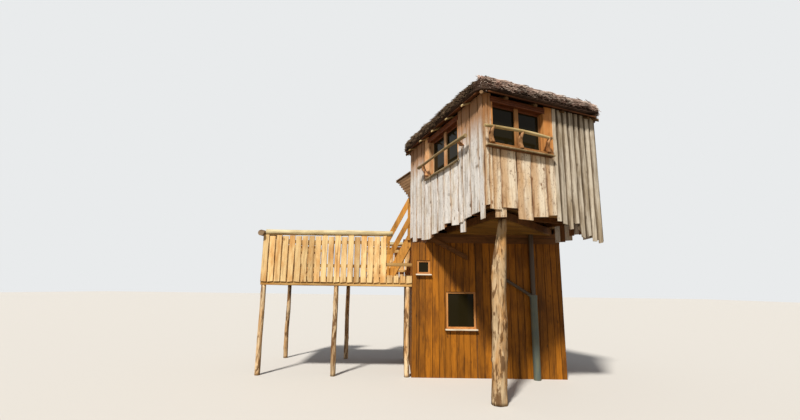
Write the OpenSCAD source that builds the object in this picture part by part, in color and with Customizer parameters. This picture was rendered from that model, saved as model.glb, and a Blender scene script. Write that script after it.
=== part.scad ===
/* [Upper cabin] */
// Length of the front wall, which looks towards the corner post
front_l = 2665; // [2500:5:3000]
// Length of the left wall
left_l = 3385; // [3100:5:3800]
// Turn of the front wall against the lower storey, degrees
front_turn = 23.5; // [20:0.5:27]
// Corner between the left and the front wall, degrees
corner_angle = 86.5; // [85:0.5:91]
// Near corner of the cabin, measured from the lower storey's middle line
corner_x = -505; // [-600:5:-400]
// Near corner of the cabin, in front of the lower storey's middle
corner_y = -3640; // [-3750:5:-3500]
// Thickness of the boarding on the walls
skin_t = 40; // [30:1:60]
// Thickness of the timber frame behind the boarding
frame_t = 60; // [45:1:90]
// Height of the top of the upper walls
wall_top = 5155; // [5080:5:5200]
// How far the boarding right of the front window lies back
step_back = 14; // [0:1:20]

/* [Upper windows] */
// Left edge of the front window, along the front wall
front_win_x = 165; // [150:5:300]
// Width of the front window
front_win_w = 1190; // [900:5:1200]
// Left edge of the left window, along the left wall
left_win_x = 1100; // [800:5:1300]
// Width of the left window
left_win_w = 1370; // [1100:5:1450]
// Height of the underside of both upper windows
win_sill_z = 4240; // [4150:5:4350]
// Height of the top of both upper windows
win_head_z = 5080; // [4900:5:5090]
// Width of the window frame's members
sash_w = 42; // [35:1:80]
// Depth of the window frame's members
sash_t = 45; // [35:1:60]
// Depth of the box that lines a window's opening
reveal_t = 130; // [110:5:200]
// Thickness of the boards that line a window's opening
lining_t = 25; // [18:1:30]
// Thickness of the glass
glass_t = 6; // [4:1:10]
// Diameter of the guard rail logs
guard_d = 62; // [45:1:80]
// Reach of the guard rails in front of the walls
guard_out = 120; // [100:5:170]

/* [Roof] */
// Reach of the eaves past the front, left and back walls
eave_out = 200; // [160:5:300]
// Reach of the eave past the right wall
eave_right = 120; // [110:5:300]
// Rise of the roof from the eave to the ridge
roof_rise = 720; // [600:5:850]
// Height of the lower edge of the thatch
thatch_z = 5170; // [5160:5:5220]
// Thickness of the thatch at the eave
thatch_t = 150; // [110:5:200]
// Thickness of the roof boards
roof_board_t = 22; // [18:1:28]
// Diameter of the rafter poles
rafter_d = 64; // [55:1:90]
// Distance between two rafter poles
rafter_step = 650; // [450:10:700]

/* [Platform] */
// Height of the underside of the platform's beams
platform_z = 3050; // [3000:5:3080]
// Height of the platform's beams and joists
rim_h = 140; // [120:5:160]
// Thickness of the platform's beams
rim_t = 80; // [60:5:100]
// Thickness of the joists
joist_t = 70; // [50:5:90]
// Height of the bearers under the cabin floor
bearer_h = 100; // [80:5:120]
// Thickness of the bearers under the cabin floor
bearer_t = 80; // [60:5:100]
// Thickness of the floor boards
floor_t = 35; // [25:1:45]
// Thickness of the soffit boards
soffit_t = 25; // [18:1:35]

/* [Corner post] */
// Place of the post's top, measured from the lower storey's middle line
post_x = -115; // [-160:5:-60]
// Place of the post's top, in front of the lower storey's middle
post_y = -3160; // [-3200:5:-3100]
// Diameter of the log at its foot
post_foot_d = 262; // [220:2:300]
// Diameter of the log at its top
post_top_d = 140; // [120:2:170]

/* [Lower storey] */
// Width of the lower storey
low_w = 3270; // [3200:5:3400]
// Depth of the lower storey
low_d = 2400; // [2300:5:2500]
// Height of the lower walls
low_h = 2830; // [2760:5:2840]
// Thickness of the lower walls
low_t = 90; // [70:5:110]
// Thickness of the lower floor
low_floor_t = 120; // [80:5:150]
// Thickness of the beams on the lower walls
beam_t = 120; // [100:5:140]
// Left edge of the lower front window
low_win_x = 745; // [650:5:850]
// Width of the lower front window
low_win_w = 640; // [500:5:700]
// Height of the lower front window's underside
low_win_z = 990; // [900:5:1100]
// Height of the lower front window
low_win_h = 780; // [600:5:900]
// Left edge of the small window under the platform
small_win_x = 110; // [100:5:160]
// Width of the small window
small_win_w = 290; // [240:5:340]
// Height of the small window's underside
small_win_z = 2140; // [2050:5:2200]
// Height of the small window
small_win_h = 300; // [240:5:360]

/* [Doors] */
// Width of both doors
door_w = 800; // [700:5:850]
// Height of the lower door
low_door_h = 1900; // [1800:5:2000]
// Height of the upper door
up_door_h = 1300; // [1200:5:1320]
// Thickness of the doors
door_t = 40; // [30:1:50]

/* [Downpipe] */
// Place of the downpipe, right of the lower storey's middle
pipe_x = 975; // [850:5:1100]
// Diameter of the downpipe's lower length
pipe_d = 150; // [110:5:160]
// Diameter of the downpipe's upper length
pipe_top_d = 100; // [75:5:105]
// Height of the joint between the two lengths
pipe_joint_z = 1720; // [1500:5:2000]

/* [Deck] */
// Length of the deck, left of the lower storey
deck_l = 3300; // [3000:5:3600]
// Depth of the deck
deck_d = 2250; // [2100:5:2400]
// Height of the deck's boards
deck_z = 2060; // [2000:5:2120]
// Height of the railing's boards above the floor that they guard
rail_h = 900; // [880:5:1000]
// How far the railing's boards reach below that floor
rail_drop = 120; // [80:5:150]
// Diameter of the handrail logs
hand_d = 125; // [90:5:140]
// Width of a railing board
slat_w = 125; // [100:5:150]
// Gap between two railing boards
slat_gap = 16; // [8:1:30]
// Thickness of a railing board
slat_t = 24; // [18:1:30]
// Diameter of the deck's posts
deck_post_d = 110; // [90:5:130]
// Height of the deck's beams
deck_beam_h = 160; // [120:5:180]

/* [Stair] */
// Width of the stair
stair_w = 800; // [700:5:850]
// Run of the stair, level
stair_run = 610; // [580:5:760]
// Number of treads
treads = 5; // [4:1:6]
// Depth of the stair's side boards
stringer_h = 200; // [160:5:220]
// Thickness of the stair's side boards
stringer_t = 45; // [35:1:60]

/* [Hidden] */

// Two pieces that bear on each other sideways lie this far apart
fit = 0.3;
// A size larger than the whole building, for cutting
far = 9000;

// Directions in the upper cabin's plan
left_turn = front_turn - 180 + corner_angle;
front_dir = [cos(front_turn), sin(front_turn)];
back_dir = [-cos(left_turn), -sin(left_turn)];
skew = sin(corner_angle);

// A place in the cabin's plan: s along the front wall, t backwards along the left wall
function plan(s, t) = [
  corner_x + s * front_dir[0] + t * back_dir[0],
  corner_y + s * front_dir[1] + t * back_dir[1]
];

// The cabin's plan, drawn in by the same distance on all sides
function inset_plan(d) = [
  plan(d / skew, d / skew),
  plan(front_l - d / skew, d / skew),
  plan(front_l - d / skew, left_l - d / skew),
  plan(d / skew, left_l - d / skew)
];

// Length that a wall gives up where it butts against the back of a wall d thick
function butt(d) = d * (1 + abs(cos(corner_angle))) / skew + fit;

wall_t = skin_t + frame_t;
rim_top = platform_z + rim_h;
terrace_z = rim_top + floor_t;
bearer_top = rim_top + bearer_h;
floor_top = bearer_top + floor_t;
low_x = low_w / 2;
low_y = low_d / 2;

// Lower ends of the boards as [right edge, height], seen from outside, left to right
window_part_l = 1540;
front_ends = [
  [90, 3200], [210, 3140], [440, 3020], [710, 3200], [970, 3010], [1330, 3085],
  [window_part_l, 3140], [1660, 3065], [1790, 2990], [1900, 2940], [2010, 3020], [2140, 2900],
  [2270, 2820], [2420, 2810], [2540, 2760], [front_l, 2730]
];
left_ends = [
  [200, 3010], [480, 2900], [760, 2970], [1040, 2860], [1330, 2880], [1600, 2960],
  [1860, 2990], [2120, 3105], [2380, 3010], [2650, 2835], [2900, 3060], [3160, 3110],
  [left_l, 2965]
];

// Boards of the two hidden walls: ragged where they hang free, level over the terrace
board_w = 260;
free_l = 1330;
terrace_gap = 15;
hang_z = 2900;
hang_swing = 90;
function hidden_end(x, i, free) =
  x <= free ? hang_z + hang_swing * (sin(i * 137) + 0.45 * sin(i * 71)) : terrace_z + terrace_gap;
function hidden_ends(length, free) = [
  for (i = [1 : round(length / board_w)])
    let (x = i * length / round(length / board_w))
    [x, hidden_end(x, i, free)]
];

// Outline of boarding with stepped lower ends, from x = 0 to its last board
function boarding(ends) = concat(
  [[0, wall_top]],
  [for (i = [0 : len(ends) - 1])
    each [[i == 0 ? 0 : ends[i - 1][0], ends[i][1]], [ends[i][0], ends[i][1]]]],
  [[ends[len(ends) - 1][0], wall_top]]
);

// Puts children at a wall's left end: x along the wall, y inwards, z up
module on_wall(start, turn) {
  translate([start[0], start[1], 0]) rotate([0, 0, turn]) children();
}

module on_front() { on_wall(plan(0, 0), front_turn) children(); }
module on_left() { on_wall(plan(0, left_l), left_turn) children(); }
module on_right() { on_wall(plan(front_l, 0), left_turn + 180) children(); }
module on_back() { on_wall(plan(front_l, left_l), front_turn + 180) children(); }
module on_low_front() { on_wall([-low_x, -low_y], 0) children(); }
module on_low_back() { on_wall([low_x, low_y], 180) children(); }

// Stands a flat outline upright, from y = from to y = from + t
module upright(from, t) {
  translate([0, from + t, 0]) rotate([90, 0, 0]) linear_extrude(height = t) children();
}

// A beam between two plan points, lying left of the line from p to q
module beam(p, q, z, t, h) {
  translate([p[0], p[1], z])
    rotate([0, 0, atan2(q[1] - p[1], q[0] - p[0])]) cube([norm(q - p), t, h]);
}

// A crooked natural log through rings of [x, y, z, diameter], from its foot up
module crooked_log(rings, sides) {
  last = len(rings) - 1;
  points = [for (r = rings) for (k = [0 : sides - 1])
    [r[0] + r[3] / 2 * cos(k * 360 / sides), r[1] + r[3] / 2 * sin(k * 360 / sides), r[2]]];
  walls = [for (i = [0 : last - 1]) for (k = [0 : sides - 1])
    let (next = (k + 1) % sides)
    [i * sides + k, (i + 1) * sides + k, (i + 1) * sides + next, i * sides + next]];
  foot = [for (k = [0 : sides - 1]) k];
  head = [for (k = [0 : sides - 1]) (last + 1) * sides - 1 - k];
  polyhedron(points = points, faces = concat(walls, [foot], [head]));
}

// The same log lying along x, with rings of [x, y, z, diameter]
module lying_log(rings, sides) {
  rotate([0, 90, 0]) crooked_log([for (r = rings) [-r[2], r[1], r[0], r[3]]], sides);
}

// Lower storey

ceiling_t = 25;

module lower_floor() {
  color("peru")
    translate([-low_x + low_t, -low_y + low_t, 0])
      cube([low_w - 2 * low_t, low_d - 2 * low_t, low_floor_t]);
}

module lower_ceiling() {
  color("peru")
    translate([-low_x + low_t, -low_y + low_t, low_h - ceiling_t])
      cube([low_w - 2 * low_t, low_d - 2 * low_t, ceiling_t]);
}

module lower_front_wall() {
  color("sienna")
    on_low_front()
      upright(0, low_t)
        difference() {
          square([low_w, low_h]);
          translate([low_win_x, low_win_z]) square([low_win_w, low_win_h]);
          translate([small_win_x, small_win_z]) square([small_win_w, small_win_h]);
        }
}

module lower_side_walls() {
  color("sienna")
    for (x = [-low_x, low_x - low_t])
      translate([x, -low_y + low_t, 0]) cube([low_t, low_d - 2 * low_t, low_h]);
}

low_door_x = 1235;

module lower_back_wall() {
  color("sienna")
    on_low_back()
      upright(0, low_t)
        difference() {
          square([low_w, low_h]);
          translate([low_door_x, low_floor_t]) square([door_w, low_door_h]);
        }
}

// A window frame with its glass openings side by side
module sash(w, h, count) {
  difference() {
    square([w, h]);
    for (i = [0 : count - 1])
      translate([sash_w + i * (w - sash_w) / count, sash_w])
        square([(w - sash_w) / count - sash_w, h - 2 * sash_w]);
  }
}

// The glass for such a frame, standing in the openings with a small fit
module glass(w, h, count) {
  for (i = [0 : count - 1])
    translate([sash_w + i * (w - sash_w) / count + fit, sash_w + fit])
      square([(w - sash_w) / count - sash_w - 2 * fit, h - 2 * sash_w - 2 * fit]);
}

low_sash_in = 20;
low_sill_out = 70;
low_sill_t = 28;
low_sill_side = 25;

// A frame in its hole, on a board whose nose lies on the sill outside
module lower_window(x, z, w, h) {
  translate([x, 0, z]) {
    upright(low_sash_in, sash_t) translate([fit, fit]) sash(w - 2 * fit, h - 2 * fit, 1);
    translate([fit, 0, fit]) cube([w - 2 * fit, low_sash_in + 1, nose_t - fit]);
    translate([fit, -nose_out, 0]) cube([w - 2 * fit, nose_out, nose_t]);
    translate([-low_sill_side, -low_sill_out, -low_sill_t])
      cube([w + 2 * low_sill_side, low_sill_out - fit, low_sill_t]);
  }
}

module lower_pane(x, z, w, h) {
  translate([x + fit, 0, z + fit])
    upright(low_sash_in + (sash_t - glass_t) / 2, glass_t) glass(w - 2 * fit, h - 2 * fit, 1);
}

module lower_windows() {
  color("burlywood")
    on_low_front() {
      lower_window(low_win_x, low_win_z, low_win_w, low_win_h);
      lower_window(small_win_x, small_win_z, small_win_w, small_win_h);
    }
}

module lower_glass() {
  color("lightsteelblue")
    on_low_front() {
      lower_pane(low_win_x, low_win_z, low_win_w, low_win_h);
      lower_pane(small_win_x, small_win_z, small_win_w, small_win_h);
    }
}

door_in = 10;

module lower_door() {
  color("saddlebrown")
    on_low_back()
      translate([low_door_x + fit, low_t - door_t - door_in, low_floor_t])
        cube([door_w - 2 * fit, door_t, low_door_h - fit]);
}

// A slanting branch comes out of the wall and joins the downpipe at its collar
pipe_gap = 6;
collar_h = 90;
collar_t = 6;
branch_d = 70;
branch_run = 640;
branch_rise = 400;
branch_drop = 45;

module downpipe() {
  y = -low_y - pipe_d / 2 - pipe_gap;
  slope = atan(branch_rise / branch_run);
  color("slategray") {
    translate([pipe_x, y, 0]) {
      cylinder(h = pipe_joint_z, d = pipe_d, $fn = 32);
      translate([0, 0, pipe_joint_z - collar_h])
        cylinder(h = collar_h, d = pipe_d + 2 * collar_t, $fn = 32);
      cylinder(h = platform_z - soffit_t - fit, d = pipe_top_d, $fn = 32);
      translate([0, 0, pipe_joint_z - branch_drop])
        rotate([0, slope - 90, 0])
          cylinder(h = norm([branch_run, branch_rise]), d = branch_d, $fn = 12);
    }
    translate([pipe_x - branch_run, -low_y - fit, pipe_joint_z - branch_drop + branch_rise])
      rotate([90, 0, 0]) cylinder(h = pipe_d / 2 + pipe_gap + branch_d / 2, d = branch_d + 6, $fn = 12);
  }
}

// Beams on the lower walls, cut back where the cabin's left wall hangs past them

beam_h = platform_z - low_h;
cut_in = skin_t + 10;
beam_left_x = -1330;
side_beam_y = -440;

module wall_beams() {
  color("saddlebrown") {
    translate([beam_left_x, -low_y, low_h]) cube([low_x - beam_left_x, beam_t, beam_h]);
    translate([-low_x, low_y - beam_t, low_h]) cube([low_w, beam_t, beam_h]);
    translate([-low_x, side_beam_y, low_h])
      cube([beam_t, low_y - beam_t - side_beam_y - fit, beam_h]);
    translate([low_x - beam_t, -low_y + beam_t + fit, low_h])
      cube([beam_t, low_d - 2 * beam_t - 2 * fit, beam_h]);
  }
}

// The platform's front: its tip over the post, and where its rims cross the front beam
rim_tip = [post_x - 90, post_y - post_top_d / 2 - 65];
rim_left = [-860, -low_y];
rim_right = [1430, -low_y];

rim_left_dir = (rim_left - rim_tip) / norm(rim_left - rim_tip);
rim_right_dir = (rim_right - rim_tip) / norm(rim_right - rim_tip);
// From each rim's outer face towards its inner face
rim_left_in = [rim_left_dir[1], -rim_left_dir[0]];
rim_right_in = [-rim_right_dir[1], rim_right_dir[0]];
// The rims end behind the front beam
rim_end = -low_y + beam_t;

module in_front_of(y) { translate([-far, y - far]) square([2 * far, far]); }

// A strip along a rim, between two distances inwards from its outer face
module rim_strip(dir, in, from, to) {
  a = rim_tip - dir * far;
  b = rim_tip + dir * far;
  polygon([a + in * from, b + in * from, b + in * to, a + in * to]);
}

module right_rim_plan() {
  intersection() {
    rim_strip(rim_right_dir, rim_right_in, 0, rim_t);
    rim_strip(rim_left_dir, rim_left_in, 0, far);
    in_front_of(rim_end);
  }
}

module left_rim_plan() {
  intersection() {
    rim_strip(rim_left_dir, rim_left_in, 0, rim_t);
    rim_strip(rim_right_dir, rim_right_in, rim_t + fit, far);
    in_front_of(rim_end);
  }
}

module platform_rims() {
  color("saddlebrown")
    translate([0, 0, platform_z])
      linear_extrude(height = rim_h) {
        right_rim_plan();
        left_rim_plan();
      }
}

// Area left of the cabin's left wall, kept clear for its hanging boards
module left_wall_side(past) {
  a = plan(past, 0);
  b = plan(past, left_l);
  polygon([a, b, b - [far, 0], a - [far, 0]]);
}

joists = 7;
// Joists keep this clear of the outer face of a rim
joist_clear = 220;

module joists() {
  color("chocolate")
    translate([0, 0, platform_z])
      linear_extrude(height = rim_h)
        difference() {
          intersection() {
            for (i = [0 : joists])
              translate([-low_x + i * (low_w - joist_t) / joists, -far / 2]) square([joist_t, far]);
            union() {
              translate([-low_x, -low_y]) square([low_w, low_d]);
              polygon([rim_tip, rim_right, rim_left]);
            }
          }
          intersection() {
            union() {
              rim_strip(rim_left_dir, rim_left_in, -joist_clear, rim_t + fit);
              rim_strip(rim_right_dir, rim_right_in, -joist_clear, rim_t + fit);
            }
            in_front_of(rim_end + fit);
          }
          left_wall_side(cut_in);
        }
}

module soffit() {
  color("goldenrod")
    translate([0, 0, platform_z - soffit_t])
      linear_extrude(height = soffit_t)
        difference() {
          polygon([rim_tip, rim_right - [0, fit], rim_left - [0, fit]]);
          in_front_of(post_y + post_top_d / 2 + 5);
        }
}

// A slanting timber on the lower front wall, under the edge of the left wall
brace_w = 90;
brace_t = 70;
brace_foot = [1215, 2500];
brace_head = [345, 2950];

module brace() {
  along = (brace_head - brace_foot) / norm(brace_head - brace_foot);
  up = brace_w / 2 / abs(along[0]);
  color("sienna")
    on_low_front()
      upright(-brace_t - fit, brace_t)
        polygon([
          brace_foot - [0, up], brace_foot + [0, up], brace_head + [0, up], brace_head - [0, up]
        ]);
}

// The log under the near corner, leaning and crooked near its top

post_lean = [
  [-153, 40, 0, post_foot_d], [-135, 34, 420, post_foot_d * 0.955], [-107, 22, 1050, post_foot_d * 0.94],
  [-100, 34, 1600, post_foot_d * 0.91], [-90, 26, 2050, post_foot_d * 0.925],
  [-79, 18, 2300, post_foot_d * 0.91], [-50, 8, 2600, (post_foot_d + post_top_d) / 2],
  [-20, 0, 2850, post_top_d * 1.15], [0, 0, platform_z, post_top_d]
];

module corner_post() {
  color("burlywood")
    crooked_log([for (r = post_lean) [post_x + r[0], post_y + r[1], r[2], r[3]]], 20);
}

// Cabin floor on its bearers, and the terrace behind the cabin

bearers = 4;

module bearers() {
  color("sienna") {
    edge = (skin_t + 2) / skew;
    for (s = [edge + bearer_t, front_l - edge])
      beam(plan(s, edge), plan(s, left_l - edge), rim_top, bearer_t, bearer_h);
    for (i = [0 : bearers])
      let (t = edge + i * (left_l - 2 * edge - bearer_t) / bearers)
      beam(
        plan(edge + bearer_t + 6, t), plan(front_l - edge - bearer_t - 6, t),
        rim_top, bearer_t, bearer_h
      );
  }
}

module cabin_floor() {
  color("peru")
    translate([0, 0, bearer_top])
      linear_extrude(height = floor_t) polygon(inset_plan(skin_t + 1));
}

module terrace_plan() {
  difference() {
    translate([-low_x, -low_y]) square([low_w, low_d]);
    polygon(inset_plan(-1));
    left_wall_side(cut_in);
  }
}

module terrace_floor() {
  color("peru")
    translate([0, 0, rim_top]) linear_extrude(height = floor_t) terrace_plan();
}

// Upper walls: ragged boarding outside, a frame inside, one piece each

module cabin_wall(skin_from, skin_to, frame_from, frame_to, ends) {
  difference() {
    union() {
      upright(0, skin_t)
        intersection() {
          polygon(boarding(ends));
          translate([skin_from, 0]) square([skin_to - skin_from, far]);
        }
      upright(skin_t, frame_t)
        translate([frame_from, floor_top]) square([frame_to - frame_from, wall_top - floor_top]);
    }
    children();
  }
}

module hole(x, z, w, h) {
  translate([x, -far / 2, z]) cube([w, far, h]);
}

win_h = win_head_z - win_sill_z;

module left_wall() {
  color("tan")
    on_left()
      cabin_wall(0, left_l - butt(skin_t), butt(wall_t), left_l - butt(wall_t), left_ends)
        hole(left_win_x, win_sill_z, left_win_w, win_h);
}

module front_wall() {
  color("tan")
    on_front()
      difference() {
        cabin_wall(0, front_l, butt(skin_t), front_l - butt(skin_t), front_ends)
          hole(front_win_x, win_sill_z, front_win_w, win_h);
        translate([window_part_l, -far + step_back, 0]) cube([far, far, far]);
      }
}

module right_wall() {
  color("tan")
    on_right()
      cabin_wall(
        butt(skin_t), left_l, butt(wall_t), left_l - butt(wall_t), hidden_ends(left_l, free_l)
      );
}

up_door_x = 1660;

module back_wall() {
  color("tan")
    on_back()
      cabin_wall(
        butt(skin_t), front_l - butt(skin_t), butt(skin_t), front_l - butt(skin_t),
        hidden_ends(front_l, 0)
      )
        hole(up_door_x, floor_top, door_w, up_door_h);
}

// Upper windows: a lining box with the window in its inner end, and a sill

sill_t = 28;
sill_out = 95;
sill_side = 140;
// The lining's lower board lies with its nose on the sill
nose_out = 20;
nose_t = 22;

module window_frame(x, w) {
  translate([x, 0, win_sill_z]) {
    upright(0, reveal_t)
      difference() {
        translate([fit, fit]) square([w - 2 * fit, win_h - 2 * fit]);
        translate([lining_t, lining_t]) square([w - 2 * lining_t, win_h - 2 * lining_t]);
      }
    upright(reveal_t - sash_t, sash_t)
      translate([lining_t, lining_t]) sash(w - 2 * lining_t, win_h - 2 * lining_t, 2);
    translate([fit, -nose_out, 0]) cube([w - 2 * fit, nose_out, nose_t]);
    translate([-sill_side, -sill_out, -sill_t])
      cube([w + 2 * sill_side, sill_out - fit, sill_t]);
  }
}

module window_glass(x, w) {
  translate([x + lining_t, 0, win_sill_z + lining_t])
    upright(reveal_t - (sash_t + glass_t) / 2, glass_t)
      glass(w - 2 * lining_t, win_h - 2 * lining_t, 2);
}

module front_window_frame() {
  color("peru") on_front() window_frame(front_win_x, front_win_w);
}

module left_window_frame() {
  color("peru") on_left() window_frame(left_win_x, left_win_w);
}

module front_window_glass() {
  color("lightsteelblue") on_front() window_glass(front_win_x, front_win_w);
}

module left_window_glass() {
  color("lightsteelblue") on_left() window_glass(left_win_x, left_win_w);
}

// Guard rails: a natural log in front of a window, on branch brackets

guard_z = 4545;
bracket_d = 54;
bracket_rise = 262;
// Rise of the stub at the left rail's near end
stub_rise = 90;
// How far the rails run past the windows, and their brackets beside them
front_past = [235, 40];
left_past = [280, 480];
bracket_past = 26;
bracket_lean = -60;
stub_past = 210;

module bracket(x, rise) {
  lean = bracket_lean * rise / bracket_rise;
  difference() {
    crooked_log([
      [x, -10, guard_z - rise, bracket_d],
      [x + lean * 0.5, -guard_out * 0.42, guard_z - rise * 0.72, bracket_d],
      [x + lean, -guard_out * 0.8, guard_z - rise * 0.4, bracket_d * 0.92],
      [x + lean * 0.4, -guard_out, guard_z, bracket_d * 0.8]
    ], 8);
    translate([x - 500, -fit, 0]) cube([1000, 1000, far]);
  }
}

module guard_rail(from, to, at) {
  run = to - from;
  lying_log([
    [from, -guard_out - 6, guard_z - 20, guard_d * 0.86],
    [from + run * 0.2, -guard_out + 4, guard_z - 4, guard_d],
    [from + run * 0.45, -guard_out, guard_z + 10, guard_d * 0.95],
    [from + run * 0.7, -guard_out - 5, guard_z + 3, guard_d * 1.04],
    [to, -guard_out, guard_z - 12, guard_d * 0.8]
  ], 12);
  for (b = at) bracket(b[0], b[1]);
}

module front_guard_rail() {
  to = front_win_x + front_win_w;
  color("burlywood")
    on_front()
      guard_rail(
        front_win_x - front_past[0], to + front_past[1],
        [
          [front_win_x - bracket_past, bracket_rise],
          [(front_win_x + to) / 2, guard_z - win_sill_z - nose_t - 1],
          [to + bracket_past, bracket_rise]
        ]
      );
}

module left_guard_rail() {
  to = left_win_x + left_win_w;
  color("burlywood")
    on_left()
      guard_rail(
        left_win_x - left_past[0], to + left_past[1],
        [[left_win_x - bracket_past, bracket_rise], [to + stub_past, stub_rise]]
      );
}

module upper_door() {
  color("saddlebrown")
    on_back()
      translate([up_door_x + fit, skin_t - door_t / 2, floor_top])
        cube([door_w - 2 * fit, door_t, up_door_h - fit]);
}

// Hipped roof with a short ridge: u runs across it from the left eave, v back from the front eave

// How far the roof boards end inside the edge of the thatch
edge_in = 60;
roof_w = front_l + eave_out + eave_right;
roof_l = left_l + 2 * eave_out;
mid = roof_w / 2;
pitch_tan = roof_rise / (mid - edge_in);
pitch = atan(pitch_tan);
// How far the rafters' tails lie inside the edge of the thatch
tail = 25;
// Height of the rafters' upper face where it meets the line of their tails
rafter_z = thatch_z - roof_board_t - (edge_in - tail) * pitch_tan - 2;

function roof_at(u, v) = plan((u - eave_out) / skew, (v - eave_out) / skew);
function eave_plan(d) = [
  roof_at(d, d), roof_at(roof_w - d, d), roof_at(roof_w - d, roof_l - d), roof_at(d, roof_l - d)
];

// A solid hipped form: its eaves drawn in by d, from z up, with the ridge at top
module hipped(d, z, edge, top) {
  hull() {
    translate([0, 0, z]) linear_extrude(height = edge) polygon(eave_plan(d));
    for (v = [mid, roof_l - mid])
      translate([roof_at(mid, v)[0], roof_at(mid, v)[1], top - 1]) cylinder(h = 1, d = 30, $fn = 12);
  }
}

module thatch() {
  color("rosybrown")
    difference() {
      hipped(0, thatch_z, thatch_t, thatch_z + thatch_t + roof_rise);
      hipped(edge_in, thatch_z - 1, 1, thatch_z + roof_rise);
    }
}

module roof_boards() {
  color("peru")
    difference() {
      hipped(edge_in + fit, thatch_z - roof_board_t, roof_board_t - fit, thatch_z + roof_rise - fit);
      hipped(edge_in + 1, thatch_z - roof_board_t - 2, 2, thatch_z + roof_rise - roof_board_t);
    }
}

// Rafters, hips and ridge are strips of the layer under the roof boards

module plan_strip(from, to, w) {
  p = roof_at(from[0], from[1]);
  q = roof_at(to[0], to[1]);
  translate(p) rotate([0, 0, atan2(q[1] - p[1], q[0] - p[0])])
    translate([0, -w / 2]) square([norm(q - p), w]);
}

module hip_plan(w) {
  for (u = [tail, roof_w - tail], v = [tail, roof_l - tail])
    plan_strip([u, v], [mid, v < mid ? mid : roof_l - mid], w);
  plan_strip([mid, mid - w / 2], [mid, roof_l - mid + w / 2], w);
}

// Rafters of the left and right slopes, then those of the front and back slopes
module rafter_plan() {
  for (v = [rafter_step : rafter_step : roof_l - rafter_step / 2])
    let (reach = min(mid, v, roof_l - v)) {
      plan_strip([tail, v], [reach, v], rafter_d);
      plan_strip([roof_w - tail, v], [roof_w - reach, v], rafter_d);
    }
  for (u = [rafter_step : rafter_step : roof_w - rafter_step / 2])
    let (reach = min(mid, u, roof_w - u)) {
      plan_strip([u, tail], [u, reach], rafter_d);
      plan_strip([u, roof_l - tail], [u, roof_l - reach], rafter_d);
    }
}

module roof_frame() {
  drop = rafter_d / cos(pitch);
  color("burlywood")
    difference() {
      intersection() {
        translate([0, 0, wall_top - far / 2]) linear_extrude(height = far) {
          hip_plan(rafter_d);
          difference() {
            rafter_plan();
            hip_plan(rafter_d + 2 * fit);
          }
        }
        hipped(tail, rafter_z, 1, rafter_z + (mid - tail) * pitch_tan);
      }
      hipped(tail - 30, rafter_z - drop - 31 * pitch_tan, 1, rafter_z - drop + (mid - tail) * pitch_tan);
      linear_extrude(height = wall_top)
        difference() {
          polygon(inset_plan(0));
          polygon(inset_plan(wall_t));
        }
    }
}

// Door hood on the back wall: a nearly level roof on two boarded triangular cheeks

hood_z = 4660;
hood_out = 860;
hood_side = 110;
hood_t = 34;
hood_past = 30;
hood_slope = 2;
cheek_t = 36;
cheek_h = 640;

module hood_cheek(x) {
  low = hood_out * tan(hood_slope) + 0.5;
  translate([x, 0, 0]) rotate([90, 0, 90]) linear_extrude(height = cheek_t)
    polygon([
      [-hood_out + hood_past, hood_z - low], [-hood_out + hood_past, hood_z - low - 60],
      [-fit, hood_z - cheek_h], [-fit, hood_z]
    ]);
}

module door_canopy() {
  from = up_door_x - hood_side;
  color("sienna")
    on_back() {
      hood_cheek(from);
      hood_cheek(front_l - cheek_t);
      translate([from - hood_past, -fit, hood_z - 1])
        rotate([hood_slope, 0, 0]) translate([0, -hood_out, 0])
          cube([front_l - from + 2 * hood_past, hood_out, hood_t]);
    }
}

// Deck left of the lower storey

deck_x = -low_x - deck_l;
deck_right = -low_x - fit;
deck_front = -low_y;
deck_back = deck_front + deck_d;
deck_frame_z = deck_z - floor_t - deck_beam_h;
deck_beam_t = 60;
deck_joists = 5;

module deck_posts() {
  color("peru")
    for (x = [deck_x + 60, (deck_x + deck_right) / 2, deck_right - 90])
      for (y = [deck_front + deck_post_d / 2, deck_back - deck_post_d / 2])
        translate([x, y, 0]) cylinder(h = deck_frame_z, d = deck_post_d, $fn = 24);
}

module deck_frame() {
  color("chocolate") {
    for (y = [deck_front, deck_back - deck_beam_t])
      translate([deck_x, y, deck_frame_z]) cube([deck_right - deck_x, deck_beam_t, deck_beam_h]);
    for (i = [0 : deck_joists])
      translate([
        deck_x + i * (deck_right - deck_x - deck_beam_t) / deck_joists,
        deck_front + deck_beam_t + fit, deck_frame_z
      ])
        cube([deck_beam_t, deck_d - 2 * deck_beam_t - 2 * fit, deck_beam_h]);
  }
}

module deck_boards() {
  color("sandybrown")
    translate([deck_x, deck_front, deck_z - floor_t]) cube([deck_right - deck_x, deck_d, floor_t]);
}

// A railing panel along x, outside y = 0: upright boards on two rails between posts

rail_post = 80;
rail_post_step = 1400;
rail_bar_h = 70;
rail_bar_t = 45;
slat_swing = 28;
// Two railings that meet at a corner leave this free beside the other's post
rail_corner = rail_post + 10;

module railing(length, floor_z) {
  count = round(length / (slat_w + slat_gap));
  pitch_l = (length + slat_gap) / count;
  for (i = [0 : count - 1])
    translate([i * pitch_l, -slat_t, floor_z - rail_drop])
      cube([pitch_l - slat_gap, slat_t, rail_drop + rail_h - slat_swing * abs(sin(i * 97))]);
  for (z = [floor_z + rail_h * 0.22, floor_z + rail_h * 0.8])
    translate([0, 0, z]) cube([length, rail_bar_t, rail_bar_h]);
  spans = max(1, round(length / rail_post_step));
  for (i = [0 : spans])
    translate([i * (length - rail_post) / spans, 0, floor_z])
      cube([rail_post, rail_post, rail_h]);
}

// The front railing ends before the stair, where a low bar and short boards go on
front_rail_l = 2735;
low_bar_z = 240;
short_top = 30;

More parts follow.
